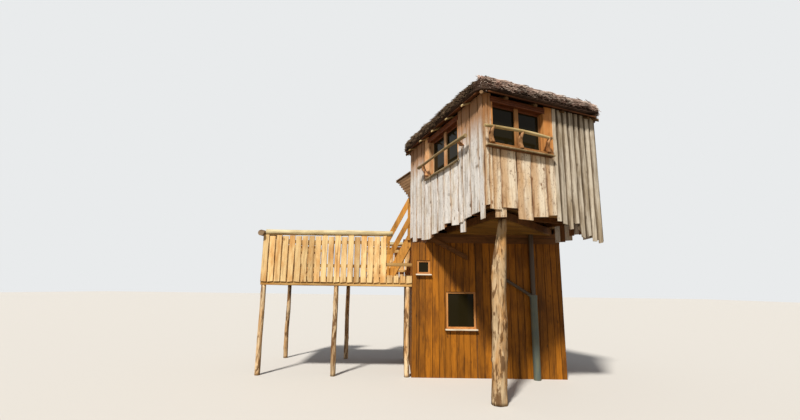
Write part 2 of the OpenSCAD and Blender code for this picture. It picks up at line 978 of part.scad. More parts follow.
module deck_railing_front() {
  rest = deck_right - deck_x - front_rail_l;
  short_n = round(rest / (slat_w + slat_gap));
  short_step = rest / short_n;
  color("sandybrown")
    translate([deck_x, deck_front - fit, 0]) {
      railing(front_rail_l, deck_z);
      translate([front_rail_l - rail_post, 0, deck_z + low_bar_z])
        cube([rest + rail_post, rail_bar_t, rail_bar_h]);
      for (i = [0 : short_n - 1])
        translate([front_rail_l + slat_gap + i * short_step, -slat_t, deck_z - rail_drop])
          cube([short_step - slat_gap, slat_t, rail_drop + short_top]);
      translate([front_rail_l - 10, -slat_t / 2, deck_z + short_top - 15])
        cube([rest + 10, rail_bar_t, short_top]);
    }
}

module deck_railing_left() {
  color("sandybrown")
    translate([deck_x - fit, deck_back, 0]) rotate([0, 0, -90])
      railing(deck_d - rail_corner, deck_z);
}

deck_way = 1000;
way_from = 1300;

module deck_railing_back() {
  color("sandybrown")
    translate([deck_right, deck_back + fit, 0]) rotate([0, 0, 180]) {
      railing(way_from, deck_z);
      translate([way_from + deck_way, 0, 0])
        railing(deck_right - deck_x - way_from - deck_way - rail_corner, deck_z);
    }
}

// Handrail logs lying on the railing posts, past the deck's corner and past their last post
hand_past = 150;
hand_end = 130;

module hand_log(length) {
  z = deck_z + rail_h;
  lying_log([
    [0, 0, z + hand_d / 2, hand_d],
    [length * 0.3, 6, z + 0.95 * hand_d / 2, 0.95 * hand_d],
    [length * 0.65, -4, z + 1.05 * hand_d / 2, 1.05 * hand_d],
    [length, 0, z + 0.92 * hand_d / 2, 0.92 * hand_d]
  ], 14);
}

module deck_handrails() {
  color("burlywood") {
    translate([deck_x - hand_past, deck_front + rail_post / 2, 0])
      hand_log(hand_past + front_rail_l + hand_end);
    translate([deck_x + rail_post / 2, deck_back + hand_end / 2, 0]) rotate([0, 0, -90])
      hand_log(deck_d + hand_end / 2 - rail_post / 2 - hand_d * 0.6);
    translate([deck_right - 10, deck_back - rail_post / 2, 0]) rotate([0, 0, 180]) {
      hand_log(way_from);
      translate([way_from + deck_way, 0, 0])
        hand_log(deck_right - deck_x - way_from - deck_way - rail_post - hand_d);
    }
  }
}

// Terrace railing along the back and right edges of the lower storey

// The right one starts where the cabin's right wall leaves room beside it
wall_room = 60;
wall_t_there = (low_x + slat_t + wall_room - plan(front_l, 0)[0]) / back_dir[0];
terrace_rail_y = max(-low_y, plan(front_l, wall_t_there)[1]);

module terrace_railing() {
  color("sandybrown") {
    translate([low_x, low_y + fit, 0]) rotate([0, 0, 180]) railing(low_w, terrace_z);
    translate([low_x + fit, terrace_rail_y, 0]) rotate([0, 0, 90])
      railing(low_y - terrace_rail_y - rail_corner, terrace_z);
  }
}

module terrace_handrails() {
  color("burlywood")
    translate([0, 0, terrace_z - deck_z]) {
      translate([low_x + rail_post / 2, low_y - rail_post / 2, 0]) rotate([0, 0, 180])
        hand_log(low_w + rail_post);
      translate([low_x - rail_post / 2, terrace_rail_y - 30, 0]) rotate([0, 0, 90])
        hand_log(low_y - terrace_rail_y + 30 - rail_post / 2 - hand_d * 0.6);
    }
}

// Steep open stair from the deck up to the terrace

stair_rise = terrace_z - deck_z;
stair_slope = atan(stair_rise / stair_run);
stair_top_x = -low_x - fit;
// The stair keeps clear of the cabin's left back corner
stair_clear = 309;
stair_near_y = plan(0, left_l)[1] + stair_clear;
tread_t = 38;
tread_d = 175;
// How far the side boards reach over the line through the treads
tread_cover = 30;

module stringer(y) {
  translate([0, y, 0])
    intersection() {
      translate([stair_top_x, 0, terrace_z])
        rotate([0, 180 - stair_slope, 0]) translate([-far / 2, 0, -tread_cover])
          cube([far, stringer_t, stringer_h]);
      translate([stair_top_x - far, 0, deck_z]) cube([far, stringer_t, stair_rise + floor_t]);
    }
}

module stair_stringers() {
  color("darkorange") {
    stringer(stair_near_y);
    stringer(stair_near_y + stair_w - stringer_t);
  }
}

module stair_treads() {
  color("darkorange")
    for (i = [1 : treads])
      translate([
        stair_top_x - stair_run + i * stair_run / (treads + 1) - tread_d / 2,
        stair_near_y + stringer_t + fit,
        deck_z + i * stair_rise / (treads + 1) - tread_t
      ])
        cube([tread_d, stair_w - 2 * stringer_t - 2 * fit, tread_t]);
}

// Two slanting rail boards on two uprights that stand beside the near side board
stair_rail_t = 45;
// The rail boards stand proud of the uprights in front and behind by less
stair_rail_proud = 8;
stair_rail_back = 4;
stair_rail_h = 120;
stair_rails_up = [370, 860];
stair_posts = [0.95, 0.14];
stair_post_w = 60;
stair_post_h = 960;
stair_post_drop = 60;

module stair_handrail() {
  color("darkorange") {
    for (part = stair_posts)
      translate([
        stair_top_x - part * stair_run, stair_near_y - stair_rail_t - fit,
        deck_z + (1 - part) * stair_rise - stair_post_drop + (part > 0.9 ? stair_post_drop : 0)
      ])
        cube([stair_post_w, stair_rail_t, stair_post_h]);
    for (up = stair_rails_up)
      translate([stair_top_x - stair_run, stair_near_y - stair_rail_t - stair_rail_proud, deck_z + up])
        rotate([0, -stair_slope, 0])
          translate([0, 0, -stair_rail_h / 2])
            cube([
              stair_rise / sin(stair_slope),
              stair_rail_t + stair_rail_proud - stair_rail_back, stair_rail_h
            ]);
  }
}

lower_floor();
lower_ceiling();
lower_front_wall();
lower_side_walls();
lower_back_wall();
lower_windows();
lower_glass();
lower_door();
downpipe();
wall_beams();
joists();
platform_rims();
soffit();
brace();
corner_post();
bearers();
cabin_floor();
terrace_floor();
left_wall();
front_wall();
right_wall();
back_wall();
front_window_frame();
front_window_glass();
left_window_frame();
left_window_glass();
front_guard_rail();
left_guard_rail();
upper_door();
roof_frame();
roof_boards();
thatch();
door_canopy();
deck_posts();
deck_frame();
deck_boards();
deck_railing_front();
deck_railing_left();
deck_railing_back();
deck_handrails();
terrace_railing();
terrace_handrails();
stair_stringers();
stair_treads();
stair_handrail();
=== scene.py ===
import math
import random

import bpy
import numpy as np
from mathutils import Matrix, Vector, noise


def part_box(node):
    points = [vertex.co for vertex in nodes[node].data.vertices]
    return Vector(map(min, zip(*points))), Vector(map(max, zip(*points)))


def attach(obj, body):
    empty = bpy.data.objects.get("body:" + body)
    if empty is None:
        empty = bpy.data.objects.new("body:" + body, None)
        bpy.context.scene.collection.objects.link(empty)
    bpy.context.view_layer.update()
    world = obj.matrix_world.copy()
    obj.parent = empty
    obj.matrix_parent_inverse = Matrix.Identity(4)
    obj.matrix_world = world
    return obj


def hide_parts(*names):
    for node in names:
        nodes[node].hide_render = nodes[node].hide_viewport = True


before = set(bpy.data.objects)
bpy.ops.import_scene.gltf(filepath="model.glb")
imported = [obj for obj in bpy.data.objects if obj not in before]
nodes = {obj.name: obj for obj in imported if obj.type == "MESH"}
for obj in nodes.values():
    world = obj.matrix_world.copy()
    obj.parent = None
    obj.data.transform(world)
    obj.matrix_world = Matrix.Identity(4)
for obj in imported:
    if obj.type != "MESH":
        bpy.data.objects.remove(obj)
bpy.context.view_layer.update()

# The cabin's plan, in metres and degrees: its near corner, its two walls that show, how far the
# front wall is turned against the lower storey, and the angle between the two walls
CORNER = Vector((-0.505, -3.640, 0.0))
FRONT_L = 2.665
LEFT_L = 3.385
FRONT_DEGREES = 23.5
CORNER_DEGREES = 86.5
FRONT_TURN = math.radians(FRONT_DEGREES)
LEFT_TURN = math.radians(FRONT_DEGREES - 180 + CORNER_DEGREES)
# Its walls: depth of the boards outside, of the lining inside, and the top
SKIN = 0.040
FRAME_T = 0.060
WALL_TOP = 5.155
# The boards beside the windows run on past the wall's top, up to the roof boards
SKIN_TOP = 5.203
RAISED_TOP = 5.192
FLOOR_TOP = 3.325
# Gap that keeps a piece off the solid behind it
FREE = 0.0005
# Its windows: sill, head, and sides as x along their walls from the left. The raised boards
# of the front wall begin at WINDOW_PART.
SILL_Z = 4.240
HEAD_Z = 5.080
FRONT_WINDOW = (0.165, 1.355)
LEFT_WINDOW = (1.100, 2.470)
WINDOW_PART = 1.540

# The lower storey: half its plan, its walls and the floors of the deck and terrace
LOW_X = 1.635
LOW_Y = 1.200
LOW_H = 2.830
LOW_T = 0.090
FLOOR_T = 0.035
DECK_Z = 2.060
DECK_L = 3.300
DECK_D = 2.250
TERRACE_Z = 3.225
# Railings: their boards' height over the floor and drop below it, width, gap and thickness,
# and the side of their square posts
RAIL_H = 0.900
RAIL_DROP = 0.120
SLAT_W = 0.125
SLAT_GAP = 0.016
SLAT_T = 0.024
RAIL_POST = 0.080


def plan(s, t):
    """A place in the cabin's plan: s along the front wall, t backwards along the left wall."""
    along = Vector((math.cos(FRONT_TURN), math.sin(FRONT_TURN), 0))
    back = Vector((-math.cos(LEFT_TURN), -math.sin(LEFT_TURN), 0))
    return CORNER + s * along + t * back


def wall_place(start, turn):
    """Puts x along a wall from its left end, y inwards and z up."""
    return Matrix.Translation(start) @ Matrix.Rotation(turn, 4, "Z")


ON_FRONT = wall_place(plan(0, 0), FRONT_TURN)
ON_LEFT = wall_place(plan(0, LEFT_L), LEFT_TURN)
ON_RIGHT = wall_place(plan(FRONT_L, 0), LEFT_TURN + math.pi)
ON_BACK = wall_place(plan(FRONT_L, LEFT_L), FRONT_TURN + math.pi)
ON_LOW_FRONT = wall_place(Vector((-LOW_X, -LOW_Y, 0)), 0)
ON_LOW_BACK = wall_place(Vector((LOW_X, LOW_Y, 0)), math.pi)
ON_LOW_LEFT = wall_place(Vector((-LOW_X, LOW_Y, 0)), -math.pi / 2)
ON_LOW_RIGHT = wall_place(Vector((LOW_X, -LOW_Y, 0)), math.pi / 2)


# Materials


def colour(hex_value):
    """An sRGB hex colour as the linear colour that Blender wants."""
    parts = [int(hex_value[i : i + 2], 16) / 255 for i in (1, 3, 5)]
    linear = [c / 12.92 if c <= 0.04045 else ((c + 0.055) / 1.055) ** 2.4 for c in parts]
    return (*linear, 1.0)


def add_node(tree, kind, settings=None, inputs=None, out=0, stops=()):
    """Adds a node with its settings and links and gives back one of its outputs.

    An input whose value is another node's output is linked, and a hex value is a colour.
    The stops are the places and levels of a ramp.
    """
    made = tree.nodes.new(kind)
    for name, value in (settings or {}).items():
        setattr(made, name, value)
    for name, value in (inputs or {}).items():
        if isinstance(value, bpy.types.NodeSocket):
            tree.links.new(value, made.inputs[name])
        else:
            made.inputs[name].default_value = colour(value) if isinstance(value, str) else value
    for i, (place, level) in enumerate(stops):
        made.color_ramp.elements[i].position = place
        made.color_ramp.elements[i].color = (level, level, level, 1)
    return made.outputs[out] if len(made.outputs) else None


def new_material(name):
    """A material without nodes, and the tree that its nodes go into."""
    made = bpy.data.materials.new(name)
    made.use_nodes = True
    made.node_tree.nodes.clear()
    return made, made.node_tree


def close_material(tree, look):
    """Ends a material with a surface that has this colour, roughness and so on."""
    surface = add_node(tree, "ShaderNodeBsdfPrincipled", inputs=look)
    add_node(tree, "ShaderNodeOutputMaterial", inputs={"Surface": surface})


def laid_over(tree, body, shade, pattern, start, end):
    """A finish with a colour laid over it where a pattern goes from start to end."""
    share = add_node(tree, "ShaderNodeValToRGB", inputs={"Fac": pattern}, stops=(start, end))
    return add_node(
        tree, "ShaderNodeMix", {"data_type": "RGBA"}, {0: share, 6: body, 7: shade}, out=2
    )


# Turns that bring a board's length to z, by the axis that it runs along
GRAIN_TURNS = {"Z": (0, 0, 0), "X": (0, math.radians(90), 0), "Y": (math.radians(90), 0, 0)}
# The eaves keep a wall dry and browner down to this height, where it is also darkened as painted
# shade of the eaves, and streaks of damp reach up past it
SHELTER_SHADE_Z = 4.620


def timber(name, pale, warm, dark, grain="Z", turn=0.0, board=None, rough=0.78, knots=0.7,
           relief=0.5, warmth=0.4, tones=0.62, heart=None, edge=None, shelter_shade=None, streak=0.8,
           bark=None, flecks=0.0):
    """Sawn or debarked softwood: its grain runs along one axis, with knots and board tones.

    board is None where the piece carries its own tone, or else the real size of a board, so
    that each board of a plain solid has its own. heart is the colour of the heartwood side of a
    board, edge that of its long edges, shelter that of the wood close under the eaves, browner
    where it stays dry and darker with the eaves' shade painted in, and bark that of strips of
    bark left on a log. flecks is the share of small knots and checks.
    """
    made, tree = new_material(name)
    place = add_node(tree, "ShaderNodeTexCoord", out="Object")
    turned = add_node(
        tree, "ShaderNodeMapping", inputs={"Vector": place, "Rotation": (0, 0, -turn)}
    )
    along = add_node(
        tree, "ShaderNodeMapping", inputs={"Vector": turned, "Rotation": GRAIN_TURNS[grain]}
    )
    if board is None:
        tone = add_node(tree, "ShaderNodeAttribute", {"attribute_name": "tone"}, out="Fac")
    else:
        cells = add_node(
            tree, "ShaderNodeMapping",
            inputs={"Vector": turned, "Scale": [1 / size for size in board]},
        )
        snapped = add_node(tree, "ShaderNodeVectorMath", {"operation": "FLOOR"}, {0: cells})
        tone = add_node(
            tree, "ShaderNodeTexWhiteNoise", {"noise_dimensions": "3D"}, {"Vector": snapped},
            out="Value",
        )
    # The tone also shifts the figure, so that no two boards share it
    shift = add_node(tree, "ShaderNodeMath", {"operation": "MULTIPLY"}, {0: tone, 1: 40.0})
    slide = add_node(tree, "ShaderNodeCombineXYZ", inputs={"Z": shift})
    shifted = add_node(tree, "ShaderNodeVectorMath", {"operation": "ADD"}, {0: along, 1: slide})

    def figure(scale, stretch, detail=4.0, twist=0.0):
        """A pattern drawn out along the grain."""
        drawn = add_node(
            tree, "ShaderNodeMapping", inputs={"Vector": shifted, "Scale": (1, 1, stretch)}
        )
        return add_node(
            tree, "ShaderNodeTexNoise", inputs={
                "Vector": drawn, "Scale": scale, "Detail": detail, "Roughness": 0.62,
                "Distortion": twist,
            },
        )

    # Fibres are about 2 mm apart on the real boards, drawn 12 mm apart so that they show
    fibres = figure(75.0, 0.045, 3.0)
    # Streaks of denser wood and dirt, about 45 mm apart
    streaks = figure(22.0, 0.05, 5.0, 0.6)
    # Weathered patches about half a metre long
    patches = figure(4.0, 0.35)
    body = laid_over(
        tree, pale, warm, patches, (0.62 - 0.4 * warmth, 0.0), (0.80 - 0.4 * warmth, 1.0)
    )
    if heart or edge:
        across = add_node(tree, "ShaderNodeAttribute", {"attribute_name": "across"}, out="Fac")
    if heart:
        # The heartwood's side wavers by 50 mm, in waves of half a metre
        sided = add_node(tree, "ShaderNodeMath", {"operation": "ADD"}, {0: across, 1: -0.35})
        ragged = add_node(
            tree, "ShaderNodeMath", {"operation": "MULTIPLY_ADD"},
            {0: figure(7.0, 0.25), 1: 0.7, 2: sided},
        )
        body = laid_over(tree, body, heart, ragged, (0.26, 0.75), (0.56, 0.0))
    if edge:
        # The long edges are worn in patches about 200 mm across and half a metre long
        off_middle = add_node(tree, "ShaderNodeMath", {"operation": "ADD"}, {0: across, 1: -0.5})
        outward = add_node(tree, "ShaderNodeMath", {"operation": "ABSOLUTE"}, {0: off_middle})
        worn = add_node(
            tree, "ShaderNodeMath", {"operation": "MULTIPLY_ADD"},
            {0: figure(5.0, 0.4, 5.0), 1: 0.5, 2: outward},
        )
        body = laid_over(tree, body, edge, worn, (0.68, 0.0), (0.80, 0.8))
    body = laid_over(tree, body, dark, streaks, (0.50, 0.0), (0.74, streak))
    # Rain stains run 100 to 400 mm down the board
    stains = figure(11.0, 0.10, 5.0, 1.2)
    body = laid_over(tree, body, dark, stains, (0.58, 0.0), (0.72, 0.7 * streak))
    if bark:
        # Strips of bark about 100 mm wide and half a metre long, with frayed edges
        strips = figure(10.0, 0.18, 6.0, 1.5)
        body = laid_over(tree, body, bark, strips, (0.50, 0.0), (0.56, 0.9))
    body = laid_over(tree, body, dark, fibres, (0.52, 0.0), (0.80, 0.6 * streak))
    # Knots 30 to 50 mm across, about one in each 300 mm of board, with a darker grain beside
    knot_space = add_node(
        tree, "ShaderNodeMapping", inputs={"Vector": shifted, "Scale": (1, 1, 0.55)}
    )
    knot_field = add_node(
        tree, "ShaderNodeTexVoronoi", {"feature": "F1"},
        {"Vector": knot_space, "Scale": 5.2, "Randomness": 1.0}, out="Distance",
    )
    knot_edge = add_node(
        tree, "ShaderNodeMath", {"operation": "MULTIPLY_ADD"},
        {0: figure(60.0, 0.6, 2.0), 1: 0.12, 2: knot_field},
    )
    body = laid_over(tree, body, dark, knot_edge, (0.12, knots), (0.19, 0.0))
    if flecks:
        # Small knots and checks 10 to 25 mm across, in clusters, with warmer wood round them
        blots = figure(13.0, 0.5, 6.0, 1.0)
        body = laid_over(tree, body, dark, blots, (0.50, 0.0), (0.66, 0.45 * flecks))
        specks = add_node(
            tree, "ShaderNodeMath", {"operation": "MULTIPLY_ADD"},
            {0: blots, 1: 0.45, 2: figure(48.0, 0.55, 2.0)},
        )
        body = laid_over(tree, body, dark, specks, (0.84, 0.0), (0.90, flecks))
    # Close under the eaves the wood is browner where it stays dry, and darker with the eaves'
    # shade painted in
    if shelter_shade:
        height = add_node(tree, "ShaderNodeSeparateXYZ", inputs={"Vector": place}, out="Z")
        ragged_line = add_node(
            tree, "ShaderNodeMath", {"operation": "MULTIPLY_ADD"},
            {0: streaks, 1: 0.5, 2: -SHELTER_SHADE_Z},
        )
        under_eaves = add_node(tree, "ShaderNodeMath", {"operation": "ADD"}, {0: height, 1: ragged_line})
        body = laid_over(tree, body, shelter_shade, under_eaves, (0.0, 0.0), (0.45, 0.9))
    # Each board is a little lighter or darker than the next
    shade = add_node(
        tree, "ShaderNodeValToRGB", inputs={"Fac": tone}, stops=((0.0, tones), (1.0, 1.0))
    )
    body = add_node(
        tree, "ShaderNodeMix", {"data_type": "RGBA", "blend_type": "MULTIPLY"},
        {0: 1.0, 6: body, 7: shade}, out=2,
    )
    ridges = add_node(tree, "ShaderNodeMath", {"operation": "MULTIPLY"}, {0: streaks, 1: 0.8})
    height = add_node(
        tree, "ShaderNodeMath", {"operation": "MULTIPLY_ADD"}, {0: fibres, 1: 0.6, 2: ridges}
    )
    bump = add_node(
        tree, "ShaderNodeBump", inputs={"Height": height, "Strength": relief, "Distance": 0.008}
    )
    close_material(tree, {
        "Base Color": body, "Normal": bump, "Roughness": rough, "IOR": 1.5,
        "Specular IOR Level": 0.25,
    })
    return made


# Waney boards of larch or spruce left bare in the sun: silver grey, warm along the edges; close
# under the eaves browner, with the eaves' shade painted in
SILVER_BOARDS = timber(
    "weathered_spruce_boards", "#f2efea", "#e2d3bc", "#74624f", edge="#b8966e",
    shelter_shade="#a9794c", tones=0.86, warmth=0.3, knots=0.9, flecks=0.5,
)
# Younger boards under the front window: brown heartwood on one side, pale sapwood on the other;
# close under the eaves browner, with the eaves' shade painted in
TAN_BOARDS = timber(
    "young_spruce_boards", "#f6e6ca", "#e8c89e", "#805430", heart="#d0a675", edge="#7c5230",
    shelter_shade="#a87446", tones=0.90, warmth=0.35, knots=0.9, flecks=0.65,
)
# Narrow boards right of the window, the greyest of the house
GREY_BOARDS = timber(
    "grey_spruce_boards", "#dbcfba", "#b8a78c", "#695a47", edge="#78664f", tones=0.74,
)
# Boards behind the gaps of those, darkened as painted shade in the gaps
SHADED_GREY_UNDER = timber("spruce_boards_painted_shade", "#7a6a56", "#645441", "#382d21", tones=0.7)
# Boards behind the gaps, out of the rain: still orange brown
UNDER_BOARDS = timber(
    "sheltered_spruce_boards", "#946640", "#744a2a", "#452a14", tones=0.7, rough=0.72
)
# The same behind the wide front boards, where the sun doesn't reach
DARK_UNDER = timber("shaded_spruce_boards", "#6e4626", "#56341a", "#2e1a0c", tones=0.7)
# Oiled douglas fir of the lower storey: deep orange brown
OILED_BOARDS = timber(
    "oiled_fir_boards", "#b06c14", "#88500a", "#442606", edge="#64390c", tones=0.62,
    rough=0.6, relief=0.3,
)
# Planed and oiled pine of the window linings
OILED_PINE = timber(
    "oiled_pine", "#dc9a58", "#c07c3c", "#84491e", rough=0.5, relief=0.2, knots=0.4, streak=0.5
)
# The same pine, redder and darkened as painted shade of the eaves
SHADED_PINE = timber(
    "oiled_pine_in_shade", "#864a26", "#6e381c", "#3c1c0c", grain="X", rough=0.55, relief=0.2
)
# Window frames: brown stained pine
STAINED_PINE = timber(
    "stained_pine", "#b07c48", "#94602f", "#5a3618", rough=0.55, relief=0.2, streak=0.5
)
# The same on the left wall, faded to a pale tan and lightened further as painted sunlight
FADED_SUNLIT_PINE = timber(
    "faded_pine_painted_sunlight", "#f4c490", "#d6965e", "#7e5230", rough=0.6, relief=0.2, streak=0.5,
)
# Sill boards and poles, bleached to a greyish brown
SILL_WOOD = timber(
    "weathered_sill", "#bca57e", "#9a845e", "#54442e", rough=0.75, streak=0.7
)
# Sills of the lower windows, bleached almost white by sun and rain
PALE_SILL = timber(
    "bleached_sill", "#f0e4ce", "#d8c8aa", "#9a8666", grain="X", rough=0.7, tones=0.9,
)
# Debarked acacia logs: pale sapwood, dark brown where bark is left
LOG_WOOD = timber(
    "debarked_log", "#fbdcae", "#e6b070", "#6a4524", rough=0.75, knots=1.0, relief=1.0,
    warmth=0.45, streak=0.9, bark="#7c5630",
)
# Thin rail logs in front of the windows, yellow grey; the left one is browner
RAIL_LOG = timber(
    "debarked_pole", "#dcc48e", "#b69a62", "#5c4628", grain="X", turn=FRONT_TURN, rough=0.65,
)
LEFT_RAIL_LOG = timber(
    "debarked_pole_left", "#c4a97a", "#a08650", "#4c3a20", grain="X", turn=LEFT_TURN,
    rough=0.65,
)
# Doors of planed boards, oiled a little paler than the walls
DOOR_WOOD = timber(
    "oiled_door_boards", "#cf8f4e", "#ad7034", "#643a18", tones=0.75, rough=0.6, relief=0.3,
)
# Fresh sawn larch of the deck and its railing
DECK_WOOD = timber(
    "sawn_larch", "#ffdc9e", "#e8b06a", "#8a5a26", edge="#6a4220", rough=0.68, tones=0.66,
)
# The same larch in the railings' bars and the deck's frame
DECK_WOOD_X = timber(
    "sawn_larch_beams", "#e2b670", "#c68f46", "#7c4e22", grain="X", board=(3, 0.16, 0.16),
    rough=0.68,
)
# Handrail logs, worn smooth and bleached by hands and rain
DECK_LOG = timber(
    "deck_handrail_log", "#dccca0", "#b8a270", "#6a5030", grain="X", rough=0.7, relief=0.7,
)
# The older log at the deck's left end, brown with its bark's last fibres, and darker with its
# shade painted in
OLD_SHADED_LOG = timber(
    "brown_handrail_log_painted_shade", "#a88c6c", "#80654a", "#443424", grain="X", rough=0.8, relief=0.8,
)
# The branches that carry the rails, redder than the rails, with strips of bark
BRANCH_WOOD = timber(
    "bracket_branch", "#eab27a", "#cd8a50", "#5c361c", rough=0.7, relief=0.8, bark="#74482a",
)
# Rafter poles in the shade of the eaves
POLE_WOOD = timber(
    "debarked_rafter_pole", "#866744", "#6b4d2c", "#3c2814", grain="X", turn=FRONT_TURN,
    rough=0.7, tones=0.7,
)
# Boards of the door's hood, weathered brown
HOOD_WOOD = timber(
    "hood_boards", "#9c7854", "#7e5c3c", "#46301e", grain="Y", turn=FRONT_TURN, tones=0.65,
)
# Trodden larch floors, dull and knotty; the grain follows the boards
TERRACE_WOOD = timber(
    "worn_terrace_floor", "#c9a478", "#b08654", "#7c5830", grain="Y", knots=0.6,
)
DECK_FLOOR = timber(
    "worn_larch_floor", "#c9a478", "#b08654", "#7c5830", grain="X", knots=0.6,
)
# Oiled larch of the stair: bright orange
STAIR_WOOD = timber(
    "oiled_larch", "#e0a24c", "#c6842e", "#7c4a18", board=(0.5, 0.14, 0.33), rough=0.5
)
# Dark sawn beams under the cabin
BEAM_WOOD = timber(
    "dark_sawn_beams", "#80532a", "#67411d", "#38210d", grain="X", board=(3, 0.33, 0.33),
    rough=0.7,
)
JOIST_WOOD = timber(
    "dark_sawn_joists", "#80532a", "#67411d", "#38210d", grain="Y", board=(0.33, 3, 0.33),
    rough=0.7,
)
# Boards under the cabin and under the thatch, dark amber and never rained on; those under the
# thatch are darker still, as painted shade of the fringe
SOFFIT_WOOD = timber(
    "soffit_boards", "#9c7230", "#886026", "#523810", grain="X", turn=FRONT_TURN,
    board=(7, 0.14, 1), rough=0.65,
)
SHADED_ROOF_WOOD = timber(
    "roof_boards_under_thatch", "#7c4a24", "#643818", "#321a0a", grain="X", turn=FRONT_TURN,
    board=(7, 0.14, 1), rough=0.75,
)
# Planed floor boards indoors
FLOOR_WOOD = timber(
    "floor_boards", "#c99a5e", "#b18046", "#7c5226", grain="Y", board=(0.14, 7, 1), rough=0.6
)


def brushwood(name, pale, warm, dark):
    """Bundled twigs of heather, weathered to a pinkish brown, each twig with its own tone."""
    made, tree = new_material(name)
    tone = add_node(tree, "ShaderNodeAttribute", {"attribute_name": "tone"}, out="Fac")
    place = add_node(tree, "ShaderNodeTexCoord", out="Object")
    # Patches about 200 mm across, where the twigs have weathered differently
    patch = add_node(
        tree, "ShaderNodeTexNoise", inputs={"Vector": place, "Scale": 5.0, "Detail": 5.0}
    )
    body = laid_over(tree, dark, pale, tone, (0.15, 0.0), (0.85, 1.0))
    body = laid_over(tree, body, warm, patch, (0.42, 0.0), (0.66, 0.8))
    # Buds and side shoots are 2 to 5 mm, drawn 11 mm apart so that they show
    fine = add_node(
        tree, "ShaderNodeTexNoise", inputs={"Vector": place, "Scale": 90.0, "Detail": 3.0}
    )
    bump = add_node(
        tree, "ShaderNodeBump", inputs={"Height": fine, "Strength": 0.5, "Distance": 0.006}
    )
    close_material(tree, {
        "Base Color": body, "Normal": bump, "Roughness": 0.9, "IOR": 1.45,
        "Specular IOR Level": 0.15,
    })
    return made


THATCH = brushwood("heather_thatch", "#e6d4c4", "#b08c7c", "#4a342a")
# The left eave is darker, with old moss
DARK_THATCH = brushwood("mossy_thatch", "#8f7a62", "#75604c", "#3a2a1e")
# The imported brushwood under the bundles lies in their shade
THATCH_BED = brushwood("thatch_bed", "#4a382c", "#3e2c22", "#241812")


def pane():
    """Window glass as an opaque sheet, dark with the shade of the room behind it painted in."""
    made, tree = new_material("window_glass")
    close_material(tree, {
        "Base Color": "#221d0e", "Roughness": 0.08, "IOR": 1.45, "Specular IOR Level": 0.08,
    })
    return made


def plastic_pipe():
    """Grey drain pipe, dusty and dulled by the weather; its upper length is painted brown."""
    made, tree = new_material("grey_drain_pipe")
    place = add_node(tree, "ShaderNodeTexCoord", out="Object")
    # Dust in runs about 70 mm wide and 280 mm long
    drawn = add_node(
        tree, "ShaderNodeMapping", inputs={"Vector": place, "Scale": (1, 1, 0.25)}
    )
    dust = add_node(
        tree, "ShaderNodeTexNoise", inputs={"Vector": drawn, "Scale": 14.0, "Detail": 5.0}
    )
    body = laid_over(tree, "#566059", "#6a6c58", dust, (0.38, 0.0), (0.7, 1.0))
    paint = add_node(
        tree, "ShaderNodeMix", {"data_type": "RGBA"}, {0: dust, 6: "#3c2e1e", 7: "#54402a"},
        out=2,
    )
    height = add_node(tree, "ShaderNodeSeparateXYZ", inputs={"Vector": place}, out="Z")
    painted = add_node(
        tree, "ShaderNodeMath", {"operation": "GREATER_THAN"}, {0: height, 1: PIPE_JOINT}
    )
    body = add_node(
        tree, "ShaderNodeMix", {"data_type": "RGBA"}, {0: painted, 6: body, 7: paint}, out=2
    )
    close_material(tree, {"Base Color": body, "Roughness": 0.5, "IOR": 1.53})
    return made


GLASS = pane()
# Height at which the wide lower length of the downpipe ends
PIPE_JOINT = 1.720
PIPE = plastic_pipe()

# Each finish and the solid nodes that have it
FINISHES = (
    (OILED_BOARDS, (
        "lower_front_wall", "lower_side_walls", "lower_back_wall", "lower_door", "upper_door",
    )),
    (SILVER_BOARDS, ("left_wall", "right_wall", "back_wall", "door_canopy")),
    (TAN_BOARDS, ("front_wall",)),
    (OILED_PINE, ("front_window_frame", "left_window_frame", "lower_windows")),
    (GLASS, ("front_window_glass", "left_window_glass", "lower_glass")),
    (FLOOR_WOOD, (
        "lower_floor", "lower_ceiling", "cabin_floor", "terrace_floor", "deck_boards",
    )),
    (BEAM_WOOD, ("wall_beams", "platform_rims", "brace", "bearers", "roof_frame")),
    (JOIST_WOOD, ("joists",)),
    (SOFFIT_WOOD, ("soffit",)),
    (SHADED_ROOF_WOOD, ("roof_boards",)),
    (THATCH, ("thatch",)),
    (LOG_WOOD, ("corner_post", "deck_posts")),
    (RAIL_LOG, ("front_guard_rail",)),
    (LEFT_RAIL_LOG, ("left_guard_rail",)),
    (DECK_WOOD, (
        "deck_railing_front", "deck_railing_left", "deck_railing_back", "terrace_railing",
    )),
    (DECK_WOOD_X, ("deck_frame",)),
    (DECK_LOG, ("deck_handrails", "terrace_handrails")),
    (STAIR_WOOD, ("stair_stringers", "stair_treads", "stair_handrail")),
    (PIPE, ("downpipe",)),
)
for finish, node_names in FINISHES:
    for node_name in node_names:
        slots = nodes[node_name].material_slots
        for one in slots:
            one.material = finish
        if not slots:
            nodes[node_name].data.materials.append(finish)


# Boards

# The board that all others are copied from: width, thickness, rounding and cuts in its length
BLANK_W = 0.20
BLANK_T = 0.030
BLANK_EDGE = 0.005
CUTS = 11
rng = random.Random(4)


def deselect():
    bpy.ops.object.select_all(action="DESELECT")


def select_edges(piece, wanted):
    """Selects the edges of a piece in edit mode that wanted(start, end) picks."""
    bpy.ops.mesh.select_mode(type="EDGE")
    bpy.ops.mesh.select_all(action="DESELECT")
    bpy.ops.object.mode_set(mode="OBJECT")
    verts = piece.data.vertices
    for edge in piece.data.edges:
        edge.select = wanted(verts[edge.vertices[0]].co, verts[edge.vertices[1]].co)
    bpy.ops.object.mode_set(mode="EDIT")


def runs_along_z(start, end):
    return abs(start.x - end.x) + abs(start.y - end.y) < 1e-4


